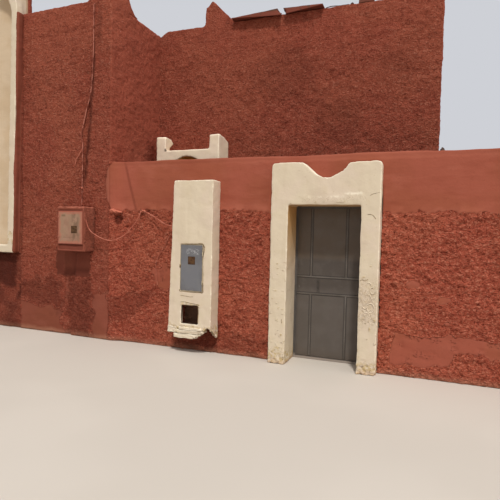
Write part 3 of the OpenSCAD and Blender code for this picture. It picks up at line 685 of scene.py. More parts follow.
def add_cube(low, high):
    a, b = spot(*low), spot(*high)
    bpy.ops.object.select_all(action="DESELECT")
    bpy.ops.mesh.primitive_cube_add(size=1, location=(a + b) / 2, scale=b - a)
    return bpy.context.object


def merged_copy(name, nodes, laps=()):
    """One object from copies of solids, with a box at each place where it laps into its neighbour."""
    parts = []
    for node in nodes:
        part = bpy.data.objects.new(name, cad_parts[node].data.copy())
        part.data.materials.clear()
        bpy.context.collection.objects.link(part)
        parts.append(part)
    parts += [add_cube(low, high) for low, high in laps]
    piece = join(name, parts)
    bpy.ops.object.mode_set(mode="EDIT")
    bpy.ops.mesh.select_all(action="SELECT")
    bpy.ops.mesh.remove_doubles(threshold=0.0002)
    bpy.ops.object.mode_set(mode="OBJECT")
    return piece


def rise(value, low, high):
    """0 below low, 1 above high, smooth between; falls where high is the lower one."""
    t = np.clip((value - low) / (high - low), 0, 1)
    return t * t * (3 - 2 * t)


def near(value, middle, far, close):
    """1 within close of the middle, 0 beyond far from it, smooth between."""
    return rise(np.abs(value - middle), far, close)


class Corners:
    """A piece's corners: their places from the doorway, and how far they face right, back and up."""

    def __init__(self, piece):
        vertices = piece.data.vertices
        place = np.empty(len(vertices) * 3, np.float32)
        way = np.empty(len(vertices) * 3, np.float32)
        vertices.foreach_get("co", place)
        vertices.foreach_get("normal", way)
        self.count = len(vertices)
        self.place = place.reshape(-1, 3).astype(float) - np.array((DOOR_X, STREET_Y, 0))
        self.way = way.reshape(-1, 3).astype(float)
        self.x, self.y, self.z = self.place.T
        self.right, self.back, self.up = self.way.T

    def grit(self, size, seed=0):
        """Smooth random values from 0 to 1 on a grid of that size, the same each time."""
        p = self.place / size + 37.7 + seed * 5.3
        cell = np.floor(p).astype(np.int64)
        f = p - cell
        f = f * f * (3 - 2 * f)
        total = 0.0
        for i in (0, 1):
            for j in (0, 1):
                for k in (0, 1):
                    c = cell + (i, j, k)
                    h = (c[:, 0] * 73856093) ^ (c[:, 1] * 19349663) ^ (c[:, 2] * 83492791)
                    h = h ^ (seed * 2654435761)
                    h = ((h ^ (h >> 13)) * 1274126177) & 0x7FFFFFFF
                    h = ((h ^ (h >> 16)) & 0xFFFF) / 65535.0
                    w = np.abs(1 - i - f[:, 0]) * np.abs(1 - j - f[:, 1]) * np.abs(1 - k - f[:, 2])
                    total = total + h * w
        return total

    def ragged(self, size, seed, amount):
        """Smooth random values on both sides of 0, that amount from lowest to highest."""
        return (self.grit(size, seed) - 0.5) * amount

    @cached_property
    def drift(self):
        """How far the edge of a patch wanders at each corner, across and up."""
        across = self.ragged(0.16, 3, 2) + self.grit(0.05, 4) - 0.5
        up = self.ragged(0.16, 5, 2) + self.grit(0.05, 6) - 0.5
        return across, up

    def inside(self, patch, soft=0.012):
        """1 inside a patch with wavering edges, 0 outside."""
        left, right, low, high, waver = patch
        x = self.x + self.drift[0] * waver
        z = self.z + self.drift[1] * waver
        return rise(np.minimum(np.minimum(x - left, right - x), np.minimum(z - low, high - z)), -soft, soft)

    def inside_any(self, patches, soft=0.012):
        return np.max([self.inside(patch, soft) for patch in patches], 0)

    def oval(self, x, z, wide, high):
        """1 inside an oval spot with a wavering outline."""
        reach = np.hypot((self.x - x) / wide, (self.z - z) / high)
        return rise(reach + self.drift[0] * 0.5, 1.1, 0.75)

    def right_of(self, table, low, high):
        """1 where a corner stands more than high to the right of the line, 0 where less than low."""
        return rise(self.x - np.interp(self.z, *zip(*table)), low, high)


def mark(piece, name, values):
    """Keeps a value from 0 to 1 on each corner for the materials."""
    kept = piece.data.attributes.new(name, "FLOAT", "POINT")
    values = np.broadcast_to(np.clip(values, 0, 1), len(piece.data.vertices))
    kept.data.foreach_set("value", values.astype(np.float32))


def weigh(piece, name, values, steps=16):
    """A vertex group with the values, rounded to that many steps."""
    group = piece.vertex_groups.new(name=name)
    levels = np.rint(np.clip(values, 0, 1) * steps).astype(int)
    for level in range(1, steps + 1):
        members = np.nonzero(levels == level)[0]
        if len(members):
            group.add(members.tolist(), level / steps, "REPLACE")
    return group


def skin(piece, size):
    """An even net of small faces over the solid, its arrises worn round."""
    net = piece.modifiers.new("net", "REMESH")
    net.mode = "VOXEL"
    net.voxel_size = size
    apply_all(piece)


def thin_out(piece, values, share):
    """Fewer faces where the values say, down to that share of them all."""
    made = piece.modifiers.new("thin_out", "DECIMATE")
    made.ratio = share
    made.vertex_group = weigh(piece, "thin_out", values).name
    apply_all(piece)


def plain_back(piece, hidden, keep=0.03):
    """Thins the net out where the rule holds, such as on plain inner faces, down to the share to keep."""
    at = Corners(piece)
    chosen = hidden(at)
    shown = 1 - np.count_nonzero(chosen) / at.count
    thin_out(piece, chosen, shown + (1 - shown) * keep)


def texture(name, size, depth=1):
    made = bpy.data.textures.new(name, "CLOUDS")
    made.noise_scale = size
    made.noise_depth = depth
    return made


SWELL = texture("swell", 0.85)
WAVE = texture("wave", 0.22)
RIPPLE = texture("ripple", 0.07)
CLODS = texture("clods", 0.11)
LUMPS = texture("lumps", 0.036)
GRAINS = texture("grains", 0.022)
CRUMBS = texture("crumbs", 0.05, 2)

# Thrown render lies wider than high, so its patterns are read through a stretched frame
grain_frame = bpy.data.objects.new("grain_frame", None)
grain_frame.scale = (1.25, 1.25, 1.0)
bpy.context.collection.objects.link(grain_frame)


def push(piece, pattern, strength, group=None, middle=0.5, direction="NORMAL", through=None):
    """Moves the surface in and out by a pattern, in metres; through is a frame to read the pattern in."""
    made = piece.modifiers.new("push", "DISPLACE")
    made.texture = pattern
    made.texture_coords = "OBJECT" if through else "LOCAL"
    made.texture_coords_object = through
    made.mid_level = middle
    made.strength = strength
    made.direction = direction
    if group:
        made.vertex_group = group.name


def lift(piece, amount, shares):
    """Lifts the surface by an amount, in metres, times each corner's share."""
    push(piece, None, amount, weigh(piece, "lift", shares), 0.0)


def lean(piece, amounts, axis):
    """Moves each corner along one axis by its own amount, in metres."""
    most = float(np.abs(amounts).max())
    for way in (1, -1):
        share = np.clip(amounts * way, 0, None) / most
        push(piece, None, way * most, weigh(piece, "lean", share), 0.0, axis)
        apply_all(piece)


def soften(piece, times, group):
    """Smooths the surface that many times, by each corner's weight in the group."""
    made = piece.modifiers.new("soften", "SMOOTH")
    made.iterations = times
    made.factor = 0.5
    made.vertex_group = group.name


def place_in_house(piece, material, nodes=(), body="house", degrees=60):
    """Settles a piece on the ground, dresses it, and says what it rides on and stands for."""
    sunk = np.clip(-Corners(piece).z, 0, None)
    if sunk.max() > 0.0002:
        lean(piece, sunk, "Z")
    only(piece)
    bpy.ops.object.shade_smooth_by_angle(angle=math.radians(degrees))
    piece.data.materials.clear()
    piece.data.materials.append(material)
    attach(piece, body)
    if nodes:
        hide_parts(*nodes)


# Patches are given by their left, right, bottom and top, and by how far their edges waver.
# Smooth patches in the rough render: worn plinths of the yard wall, and patches low on the tall block
PLINTHS = ((0.90, 1.60, 0.16, 0.53, 0.05), (1.56, 2.9, 0.34, 0.55, 0.07), (-2.62, -2.28, 0.92, 1.18, 0.12))
UNDER_BAY = (-5.31, -4.42, 0.02, 0.42, 0.09)
CORNER_FOOT = (-3.72, -3.445, 0.0, 0.74, 0.05)
UNDER_BOX = (-4.53, -3.785, 0.99, 1.44, 0.03)

# Dark patches: damp on the tall block with painted shadow under the bay's sill, painted shadow and damp at
# the yard wall's foot, and the darkened wall behind the pillar's open niche
# The first is painted shadow under the bay's sill; the other two are damp low on the block
BLOCK_DAMP_AND_SHADE = ((-7.0, -5.42, 0.72, 1.34, 0.05), (-4.30, -3.75, 0.0, 0.95, 0.12),
    (-5.3, -4.4, 0.45, 0.85, 0.16))
# Painted shadow on the wall under the meter pillar
PILLAR_FOOT_SHADE = (-2.25, -1.55, 0.0, 0.40, 0.08)
LEFT_FOOT = (-1.55, -0.75, 0.0, 0.30, 0.15)
NICHE_BACK = (-2.08, -1.62, 0.34, 0.80, 0.01)

# Oval smooth spots on the right of the portal: middle across and up, half width and half height
SPOTS = ((1.475, 0.99, 0.10, 0.06), (1.13, 1.16, 0.07, 0.045), (1.53, 0.71, 0.07, 0.05))

# The buttress's left edge, along which a strip of painted shadow runs: height, and x there
BUTTRESS_LINE = ((2.2, -3.985), (2.76, -3.957), (3.15, -3.915), (3.84, -3.858), (4.73, -3.805), (5.2, -3.76))

# Left end of the smooth band where it laps onto the tall block: height, and x there
BAND_END = ((2.05, -3.38), (2.13, -3.414), (2.225, -3.473), (2.38, -3.494), (2.54, -3.492), (2.70, -3.469),
    (2.758, -3.441), (2.788, -3.394), (2.82, -3.36))


def under(at):
    """The foot's underside, which stands on the ground."""
    return (at.up < -0.7) & (at.z < 0.05)


def unseen(at, inward):
    """A wall's plain faces towards a room, below its roof deck, and its underside."""
    return ((inward > 0.7) & (at.z < ROOM_FACE_TOP)) | under(at)


def band(at):
    """The smooth band along the top of the yard walls, with a ragged lower edge."""
    along = at.x + at.y
    edge = BAND_Z + 0.010 * np.sin(5.1 * along + 1.3) + 0.008 * np.sin(17.3 * along + 0.4)
    edge = edge + at.ragged(0.045, 8, 0.05) + at.ragged(0.11, 9, 0.03)
    return rise(at.z - edge, -0.006, 0.006)


def throw_render(piece, at, calm, hidden, stain=0.0, pale=0.0, lumps=1.0):
    """Rough thrown render, smooth where calm is 1, and left as it is where it is hidden."""
    show = 1.0 - hidden(at)
    top = rise(at.z, PARAPET - 0.16, PARAPET - 0.03)
    quiet = np.maximum(rise(at.right, 0.3, 0.8), 0.4 * rise(at.z, 4.3, 5.2))
    for name, values in (("quiet", quiet), ("smooth", calm), ("stain", stain), ("pale", pale)):
        mark(piece, name, values)
    rough = weigh(piece, "rough", (1 - calm) * show * (1 - 0.45 * top) * (1 - 0.4 * quiet))
    shown = weigh(piece, "shown", show)
    even = weigh(piece, "even", calm * show)
    soften(piece, 2, shown)
    push(piece, SWELL, 0.036, shown)
    for pattern, depth in ((CLODS, 0.038), (LUMPS, 0.034), (GRAINS, 0.018)):
        push(piece, pattern, depth * lumps, rough, through=grain_frame)
    push(piece, WAVE, 0.010, even, 0.15)
    apply_all(piece)


def lap_onto_block(piece):
    """Bends the yard wall's left end forward, where its band laps onto the tall block."""
    at = Corners(piece)
    ramp = rise(at.x, -3.16, -3.41) * rise(at.x, -3.453, -3.436) * rise(at.y, 0.2, 0.05)
    lean(piece, ramp * -0.057, "Y")


def street_stain(at, calm, front, is_left):
    """Painted shadow under the pillar, damp patches, the darkened wall behind its niche, a wedge at the left,
    painted shade in the hollow below the stub, the top edge and a faint slanting dark line.
    """
    stain = at.inside(PILLAR_FOOT_SHADE, 0.05) * front * 0.8
    stain = np.maximum(stain, at.inside(LEFT_FOOT, 0.05) * front * 0.4)
    stain = np.maximum(stain, at.inside(NICHE_BACK) * front)
    wedge_top = 0.735 + (at.x + 3.43) * 0.16 + at.drift[1] * 0.05
    wedge_low = 0.30 + rise(at.x, -3.25, -2.55) * 0.46 + at.drift[0] * 0.12
    wedge = rise(wedge_top - at.z, -0.01, 0.03) * rise(at.z - wedge_low, -0.05, 0.06)
    wedge = wedge * rise(at.x, -2.45, -2.75) * is_left
    # The hollow below the stub is darkened with painted shade
    stain = np.maximum(stain, np.maximum(wedge * 0.5, wall_hole(at) * 0.9) * front)
    stain = np.maximum(stain, rise(at.z, 2.74, 2.78) * 0.2)
    stain = np.maximum(stain, rise(at.x, -0.7, -1.6) * 0.12 * (1 - calm))
    slant = -3.176 + (2.789 - at.z) * 0.29
    dark_strip = near(at.x, slant, 0.03, 0.012) * rise(at.z, 2.0, 2.1) * front * 0.45
    return np.maximum(stain, dark_strip)


def street_pale(at, calm):
    """The bare edge along the wall's top, most of all near the portal, and the band's lit lower lip."""
    by_portal = near(at.x, 0.2, 2.1, 0.9)
    strip = 2.735 + at.ragged(0.12, 14, 0.03)
    pale = rise(at.z - strip, -0.008, 0.012) * (0.05 + 0.17 * by_portal) * calm
    lip = rise(at.z, BAND_Z + 0.14, BAND_Z + 0.02) * rise(at.grit(0.09, 13), 0.35, 0.7)
    return np.maximum(pale, lip * band(at) * 0.22)


def wall_hole(at):
    """A hollow in the wall's left end, below its stub."""
    return at.oval(-3.285, 1.915, 0.06, 0.07)


def make_street_wall(name, nodes, lap, is_left):
    """A part of the street wall; the left one laps onto the tall block and has a hollow below its stub."""
    piece = merged_copy(name, nodes, [lap])
    skin(piece, 0.0145)
    plain_back(piece, under)
    plain_back(piece, lambda at: (at.y > 0.30) & (at.z < 2.76), 0.2)
    if is_left:
        lap_onto_block(piece)
    at = Corners(piece)
    front = (at.back < -0.5) * (at.y < 0.2)
    low = at.inside_any(PLINTHS, 0.02) * (0.60 + 0.4 * rise(at.grit(0.1, 31), 0.3, 0.6))
    for place in SPOTS:
        low = np.maximum(low, at.oval(*place) * 0.9)
    calm = np.maximum(band(at), low * front) * at.right_of(BAND_END, -0.02, 0.01)
    stain = street_stain(at, calm, front, is_left)
    mark(piece, "niche", at.inside(NICHE_BACK) * front * 0.3)
    throw_render(piece, at, calm, under, stain, street_pale(at, calm))
    if is_left:
        lean(piece, wall_hole(at) * front * 0.022, "Y")
    place_in_house(piece, red_fresh, nodes)


def bay_lean(height):
    """How far the bay's right jamb leans at each height."""
    return np.interp(height, (1.30, 5.38), (-0.046, 0.040)) * rise(height, 1.15, 1.25)


def block_back(at):
    """The inner faces of the tall block's front walls."""
    return unseen(at, at.back * (at.y > WALL_T - 0.03))


def tall_front_stain(at, front, dark_strip, under_box):
    """Damp patches, painted shadow along the buttress's left edge and painted shade on its upper slope, the
    patch under the meter box with painted shadow, and painted shade in the bay's rebate.
    """
    stain = at.inside_any(BLOCK_DAMP_AND_SHADE, 0.07) * front * 0.48
    # Painted shade along the buttress's upper slope
    high = near(at.x, -3.66, 0.07, 0.02) * rise(at.z, 4.55, 4.8) * rise(at.z, 5.35, 5.1)
    stain = np.maximum(stain, np.maximum(dark_strip * 0.85, high * 0.4) * front)
    blob = at.oval(-4.27, 1.11, 0.11, 0.08)
    # Damp darkening under the meter box, with painted shadow added where the box's cast shadow does not reach
    beside = np.maximum(rise(at.x, -4.31, -4.41), rise(at.z, 1.17, 1.05))
    stain = np.maximum(stain, under_box * (0.32 + 0.50 * beside - 0.15 * blob))
    # Painted shade in the rebate at the right of the bay
    rebate = rise(at.x, -5.27, -5.31) * rise(at.y, -0.02, 0.01) * rise(at.z, 1.24, 1.32)
    return np.maximum(stain, rebate * front * 0.8)


def tall_front_pale(at, front, stain, lapped):
    """Painted highlight on the rounded corner, a filled crack, the paler lower right, painted light on the
    faces towards the passage, and the lapping band.
    """
    # Painted highlight along the rounded corner
    corner = rise(np.hypot(at.x - CORNER_X, at.y + 0.05), 0.035, 0.015)
    pale = corner * rise(at.grit(0.06, 16), 0.50, 0.75) * 0.45 * (at.z > 2.9)
    crack = near(at.x + at.ragged(0.1, 17, 0.04), -4.30, 0.03, 0.012)
    crack = crack * rise(at.z, 0.50, 0.56) * rise(at.z, 1.0, 0.94)
    lower_right = rise(at.x, -3.8, -3.45) * rise(at.z, 2.9, 2.6) * 0.10 * (1 - stain)
    # Painted light on the faces towards the passage
    side = rise(at.right, 0.3, 0.8) * (at.x > -3.6) * 0.14
    for mask in (crack * 0.35 * front, lower_right, side, lapped * 0.5):
        pale = np.maximum(pale, mask)
    return pale


def make_tall_front():
    """The tall block's front at the right of the bay, with its buttress and horn."""
    bay_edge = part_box("bay_jambs")[1].x - DOOR_X
    nodes = ["front_wall_right", "corner_buttress", "corner_horn"]
    piece = merged_copy("tall_front_render", nodes,
        [((bay_edge - 0.012, -0.121, 1.33), (bay_edge + 0.022, 0.05, PARAPET - 0.02))])

    def hidden(at):
        return block_back(at) | ((at.right < -0.7) & (at.x < -5.3) & (at.y > 0.1))

    skin(piece, 0.017)
    plain_back(piece, hidden)
    at = Corners(piece)
    strip = rise(at.y, 0.01, -0.03) * (at.x < -5.25)
    lean(piece, bay_lean(at.z) * strip, "X")
    at = Corners(piece)
    front = (at.back < -0.4) & (at.y < 0.2)
    lapped = at.right_of(BAND_END, -0.012, 0.008) * rise(at.z, 2.05, 2.10) * rise(at.z, 2.825, 2.80)
    lapped = lapped * (at.y < 0.02)
    under_box = at.inside(UNDER_BOX) * front
    calm = at.inside_any((UNDER_BAY, CORNER_FOOT)) * front
    for mask in (lapped, strip * 0.8, under_box):
        calm = np.maximum(calm, mask)
    off_line = at.x - np.interp(at.z, *zip(*BUTTRESS_LINE)) + at.ragged(0.08, 15, 0.03)
    # Painted shadow of the buttress's step, in a strip along its left edge, which is also dented a little
    dark_strip = near(off_line, 0.035, 0.080, 0.012) * rise(at.z, 2.35, 2.65) * rise(at.z, 4.9, 4.2)
    stain = tall_front_stain(at, front, dark_strip, under_box)
    throw_render(piece, at, calm, hidden, stain, tall_front_pale(at, front, stain, lapped), 0.75)
    lift(piece, -0.010, dark_strip * front)
    lift(piece, 0.010, lapped)
    apply_all(piece)
    place_in_house(piece, red_old, nodes)


def make_tall_left():
    """The tall block's front at the left of the bay, and the wall behind the bay."""
    nodes = ["front_wall_left", "bay_wall"]
    piece = merged_copy("tall_left_render", nodes, [((BAY_WALL_END, 0.018, 0), (-5.29, WALL_T, BAY_SILL_Z))])
    skin(piece, 0.034)
    plain_back(piece, block_back)
    at = Corners(piece)
    front = at.back < -0.5
    niche = (at.y > 0.06) & front & (at.z > 1.2) & (at.y < 0.2)
    # Painted shadow under the bay's sill
    under_sill_shade = rise(at.z, 1.34, 1.30) * rise(at.z, 0.80, 0.88)
    foot = rise(at.z + at.ragged(0.3, 28, 0.5), 1.0, 0.8) * (0.30 + 0.35 * rise(at.grit(0.14, 29), 0.4, 0.7))
    stain = at.inside_any(BLOCK_DAMP_AND_SHADE, 0.05)
    stain = np.maximum(np.maximum(stain, under_sill_shade * 0.5), foot) * front
    mark(piece, "niche", niche)
    throw_render(piece, at, np.maximum(niche, at.inside(UNDER_BAY) * front), block_back, stain)
    place_in_house(piece, red_old, nodes)


def damp(at):
    """Large faint stains."""
    return rise(at.grit(0.9, 18), 0.62, 0.8) * 0.25


def make_passage_wall():
    """The tall block's right wall, which shows in the passage."""
    piece = merged_copy("passage_render", ["side_wall"],
        [((CORNER_X - WALL_T, WALL_T - 0.07, 0), (CORNER_X, WALL_T, 5.28))])

    def hidden(at):
        return unseen(at, -at.right) | (at.y > MAIN_Y + 0.06)

    skin(piece, 0.021)
    plain_back(piece, hidden)
    at = Corners(piece)
    # Painted light: the whole side wall is paler, more so below 3 m
    throw_render(piece, at, np.zeros(at.count), hidden, damp(at), 0.14 + rise(at.z, 3.4, 3.0) * 0.06, 0.8)
    place_in_house(piece, red_old, ["side_wall"])


def make_main_front():
    """The main house's front: painted reveals in the doorway, and a worn left end."""
    nodes = ["main_wall_left", "main_wall_over_door", "main_wall_right", "main_horn"]
    piece = merged_copy("main_front_render", nodes,
        [((CORNER_X - 0.06, MAIN_Y, 0), (CORNER_X, MAIN_Y + PARAPET_T, 5.30))])

    def hidden(at):
        return unseen(at, at.back * (at.y > MAIN_Y + WALL_T - 0.03))

    skin(piece, 0.0235)
    plain_back(piece, hidden)
    plain_back(piece, lambda at: at.z < 2.3, 0.45)
    at = Corners(piece)
    worn_end = rise(at.x, CORNER_X + 0.20, CORNER_X) * rise(at.z, 5.22, 5.38)
    lean(piece, worn_end ** 2 * -0.075, "Z")
    at = Corners(piece)
    reveal = (np.abs(at.x - INNER_X) < INNER_HALF) & (at.z < INNER_TOP)
    mark(piece, "niche", reveal & (at.y > MAIN_Y + 0.01) & (at.y < MAIN_Y + WALL_T))
    end = rise(at.x, CORNER_X + 0.25, CORNER_X + 0.10) * rise(at.z, 5.1, 5.25)
    throw_render(piece, at, np.zeros(at.count), hidden, damp(at), end * 0.3, 0.8)
    place_in_house(piece, red_old, nodes)


def make_plain_walls():
    """The right, left and rear walls, which repeat the front's render; the side walls lap past their ends."""
    lap = 0.07
    back = HOUSE_D - WALL_T
    side_walls = (
        ("right_render", "right_wall", MAIN_RIGHT_X, -1, MAIN_Y + WALL_T, lambda at: unseen(at, -at.right)),
        ("left_render", "left_wall", LEFT_X, 1, WALL_T, lambda at: unseen(at, at.right)))
    plans = []
    for name, node, out_x, inward, start, hidden in side_walls:
        laps = []
        for thick, low, high in ((WALL_T, 0, DECK_LOW), (PARAPET_T, DECK_LOW, PARAPET)):
            left, right = sorted((out_x + inward * thick, out_x))
            laps.append(((left, start - lap, low), (right, start, high)))
            laps.append(((left, back, low), (right, back + lap, high)))
        plans.append((name, node, laps, 0.050, hidden))
    plans.append(("rear_render", "rear_wall", [], 0.058, lambda at: unseen(at, -at.back)))
    for name, node, laps, size, hidden in plans:
        piece = merged_copy(name, [node], laps)
        skin(piece, size)
        plain_back(piece, hidden)
        at = Corners(piece)
        throw_render(piece, at, np.zeros(at.count), hidden, damp(at), lumps=0.8)
        place_in_house(piece, red_old, [node])


def make_yard_walls():
    """The yard's side and rear walls, with the smooth band."""
    nodes = ["yard_side_wall", "yard_rear_wall"]
    piece = merged_copy("yard_render", nodes,
        [((YARD_RIGHT_X - YARD_T, YARD_T - 0.06, 0), (YARD_RIGHT_X, YARD_T, WALL_TOP)),
         ((MAIN_RIGHT_X - 0.05, HOUSE_D - YARD_T, 0), (MAIN_RIGHT_X, HOUSE_D, WALL_TOP))])
    skin(piece, 0.048)
    plain_back(piece, under)
    at = Corners(piece)
    throw_render(piece, at, band(at), under)
    place_in_house(piece, red_fresh, nodes)


def make_far_horns():
    """Horns at the four far corners, each let into the parapet by a box along either wall."""
    reach, drop = 0.53, 0.06
    corners = ((LEFT_X, 0, 1, 1), (LEFT_X, HOUSE_D, 1, -1), (MAIN_RIGHT_X, HOUSE_D, -1, -1),
        (MAIN_RIGHT_X, MAIN_Y, -1, 1))
    laps = []
    for x, y, side_x, side_y in corners:
        for wide, deep in ((reach, PARAPET_T), (PARAPET_T, reach)):
            xs, ys = sorted((x, x + side_x * wide)), sorted((y, y + side_y * deep))
            laps.append(((xs[0], ys[0], PARAPET - drop), (xs[1], ys[1], PARAPET + 0.01)))
    piece = merged_copy("far_horns_render", ["far_corner_horns"], laps)
    skin(piece, 0.024)
    at = Corners(piece)
    throw_render(piece, at, np.zeros(at.count), lambda at: at.up < -0.7)
    place_in_house(piece, red_old, ["far_corner_horns"])


# Cream plaster

def plaster(piece, size, still, keep, loss=None, rounds=4):
    """Hand-trowelled plaster: round arrises, a gentle swell, small losses along the edges and worn places."""
    skin(piece, size)
    calm = still(Corners(piece)).astype(float)
    shown = weigh(piece, "shown", 1 - calm)
    soften(piece, rounds, shown)
    push(piece, WAVE, 0.014, shown)
    push(piece, RIPPLE, 0.004, shown)
    apply_all(piece)
    at = Corners(piece)
    edge = (1 - rise(np.abs(at.way).max(1), 0.88, 0.99)) * (1 - calm)
    lift(piece, -0.006, rise(at.grit(0.032, 11), 0.62, 0.80) * edge)
    if loss is not None:
        push(piece, CRUMBS, 0.055, weigh(piece, "loss", loss(at) * (1 - calm)), 0.56)
    apply_all(piece)
    thin_out(piece, np.ones(at.count), keep)


def end_plaster(piece, nodes, material, still, whiter=None, **masks):
    """Keeps the plaster's masks on it, whitens its arrises with painted highlight where they face up, and
    puts it in the house.
    """
    at = Corners(piece)
    for name in ("worn", "ochre", "peel", "stain"):
        mark(piece, name, masks[name](at) if name in masks else 0.0)
    # Painted highlight: arrises are whitened most where they face up
    edge = (1 - rise(np.abs(at.way).max(1), 0.80, 0.97)) * (1 - still(at).astype(float))
    lit = rise(at.up, -0.3, 0.2) * (0.5 + 0.5 * rise(at.grit(0.12, 12), 0.3, 0.6))
    mark(piece, "edge", np.maximum(edge * lit, whiter(at) if whiter else 0.0))
    place_in_house(piece, material, nodes, degrees=50)


# How far the portal's top stands above its drawn outline: places across, and heights
PORTAL_TRIM = (
    (-0.70, -0.50, -0.324, -0.294, -0.262, -0.20, -0.125, -0.072, -0.028,
        0.066, 0.135, 0.215, 0.271, 0.303, 0.371, 0.494, 0.626, 0.69),
    (0.022, 0.026, 0.026, 0.050, 0.059, 0.049, 0.034, 0.024, 0.0,
        -0.004, 0.003, -0.004, -0.011, 0.005, 0.005, 0.008, 0.015, 0.012))

# The raised bar at the right of the portal's head: its middle across
BAR_MIDDLE = 0.385


def portal_still(at):
    """The doorway's rebate, where the steel frame sits."""
    return (at.y > 0.24) & (np.abs(at.x) < DOORWAY_HALF + 0.02) & (at.z < DOORWAY_TOP + 0.02)


def portal_worn(at):
    left = rise(at.z + at.ragged(0.10, 20, 0.18), 0.26, 0.12) * (at.x < 0)
    right = rise(at.z + at.ragged(0.10, 20, 0.16), 0.20, 0.08) * (at.x > 0)
    marks = rise(at.z, 0.62, 0.75) * rise(at.z, 1.32, 1.12) * (at.x > DOORWAY_HALF)
    chips = rise(at.grit(0.028, 23), 0.80, 0.86) * (at.z < 1.4)
    lost = near(at.z + at.ragged(0.05, 27, 0.012), 2.180, 0.012, 0.004) * near(at.x, -0.06, 0.40, 0.36)
    lost = lost * rise(at.grit(0.06, 37), 0.5, 0.65) * (at.back < -0.3)
    return np.max([left, right, marks * 0.22, chips, lost * 0.8], 0)


def portal_loss(at):
    foot = rise(at.z + at.ragged(0.08, 21, 0.14), 0.20, 0.03)
    chips = rise(at.grit(0.028, 23), 0.82, 0.88) * (at.z < 1.4) * 0.25
    return np.maximum(foot * 0.7, chips)


def portal_ochre(at):
    """The reveals and the soffit, warm with painted bounce light, deeper in colour towards the top."""
    reveal = (np.abs(at.x) < DOORWAY_HALF + 0.03) & (at.y > -0.135) & (at.z < DOORWAY_TOP + 0.04)
    soffit = at.up < -0.5
    depth = np.maximum(rise(at.z, 0.9, 2.1), soffit * 1.0)
    return reveal * (np.abs(at.back) < 0.6) * depth * (1 - 0.3 * soffit)


def portal_peel(at):
    """Curled paint on the right jamb and along the head."""
    jamb = rise(at.z + at.ragged(0.2, 24, 0.3), 0.52, 0.66) * rise(at.z + at.ragged(0.2, 25, 0.2), 1.30, 1.14)
    strip = rise(at.z, 2.17, 2.19) * rise(at.z, 2.27, 2.24) * (at.x > -0.3) * (at.x < 0.55)
    return np.maximum(jamb * (at.x > DOORWAY_HALF - 0.01) * (at.back < -0.5), strip * 0.5)


def portal_whiter(at):
    """The lit upper lips of the bar and of the smear below it."""
    ragged = at.ragged(0.05, 27, 0.012)
    bar = near(at.z + ragged, 2.290, 0.010, 0.003) * near(at.x, BAR_MIDDLE, 0.12, 0.10)
    smear = near(at.z + ragged, 2.246, 0.009, 0.003) * near(at.x, 0.0, 0.28, 0.24)
    smear = smear * rise(at.grit(0.07, 27), 0.35, 0.6)
    return np.maximum(bar * 0.8, smear * 0.6) * (at.back < -0.3)


def make_portal():
    """The street portal: its worn top, and a raised bar and a smear on its head."""
    nodes = ["portal_jambs", "portal_head"]
    piece = merged_copy("street_portal", nodes)
    plaster(piece, 0.0125, portal_still, 0.5, portal_loss)
    at = Corners(piece)
    lean(piece, np.interp(at.x, *PORTAL_TRIM) * rise(at.z, 2.30, 2.50), "Z")
    at = Corners(piece)
    ragged = at.ragged(0.04, 26, 0.03)
    bar = near(at.z + ragged, 2.275, 0.022, 0.012) * near(at.x, BAR_MIDDLE, 0.13, 0.10)
    smear = near(at.z + ragged, 2.213, 0.042, 0.025) * near(at.x, 0.12, 0.42, 0.34)
    lift(piece, 0.005, np.maximum(bar, smear * 0.6) * ((at.back < -0.6) & (at.y < 0)))
    apply_all(piece)
    end_plaster(piece, nodes, cream, portal_still, portal_whiter, worn=portal_worn, ochre=portal_ochre,
        peel=portal_peel)


def pillar_still(at):
    """The space behind the meter cabinet, the niche, and the pillar's back on the wall."""
    hollow = (at.y > HOLLOW_Y) & (at.x > PILLAR_LEFT + 0.10) & (at.x < PILLAR_RIGHT - 0.10)
    return (hollow & (at.z > 0.42) & (at.z < 1.60)) | (at.y > -0.006)


def from_niche(at):
    """How far a corner is outside the pillar's open niche, across or up."""
    return np.maximum(np.abs(at.x - PILLAR_X) - NICHE_HALF[0], np.abs(at.z - NICHE_Z) - NICHE_HALF[1])


def pillar_worn(at):
    foot = rise(at.z + at.ragged(0.08, 30, 0.10), 0.46, 0.38)
    rim = rise(from_niche(at) + at.ragged(0.05, 31, 0.03), 0.045, 0.0) * (at.z > 0.68)
    return np.maximum(foot, rim * 0.8) * (at.y < -0.01)


def pillar_loss(at):
    return np.maximum(rise(at.z, 0.42, 0.34), rise(from_niche(at), 0.04, 0.0) * 0.18) * (at.y < -0.03)


# The inside of the open niche is darkened, and the foot's undersides carry painted shade
def pillar_dark_niche_and_shade(at):
    hollow = (at.y > HOLLOW_Y) & (np.abs(at.x - PILLAR_X) < 0.16) & (at.z > 0.43) & (at.z < 0.71)
    beneath = (at.up < -0.4) & (at.z < 0.42)
    return np.maximum(hollow, beneath * 0.5)


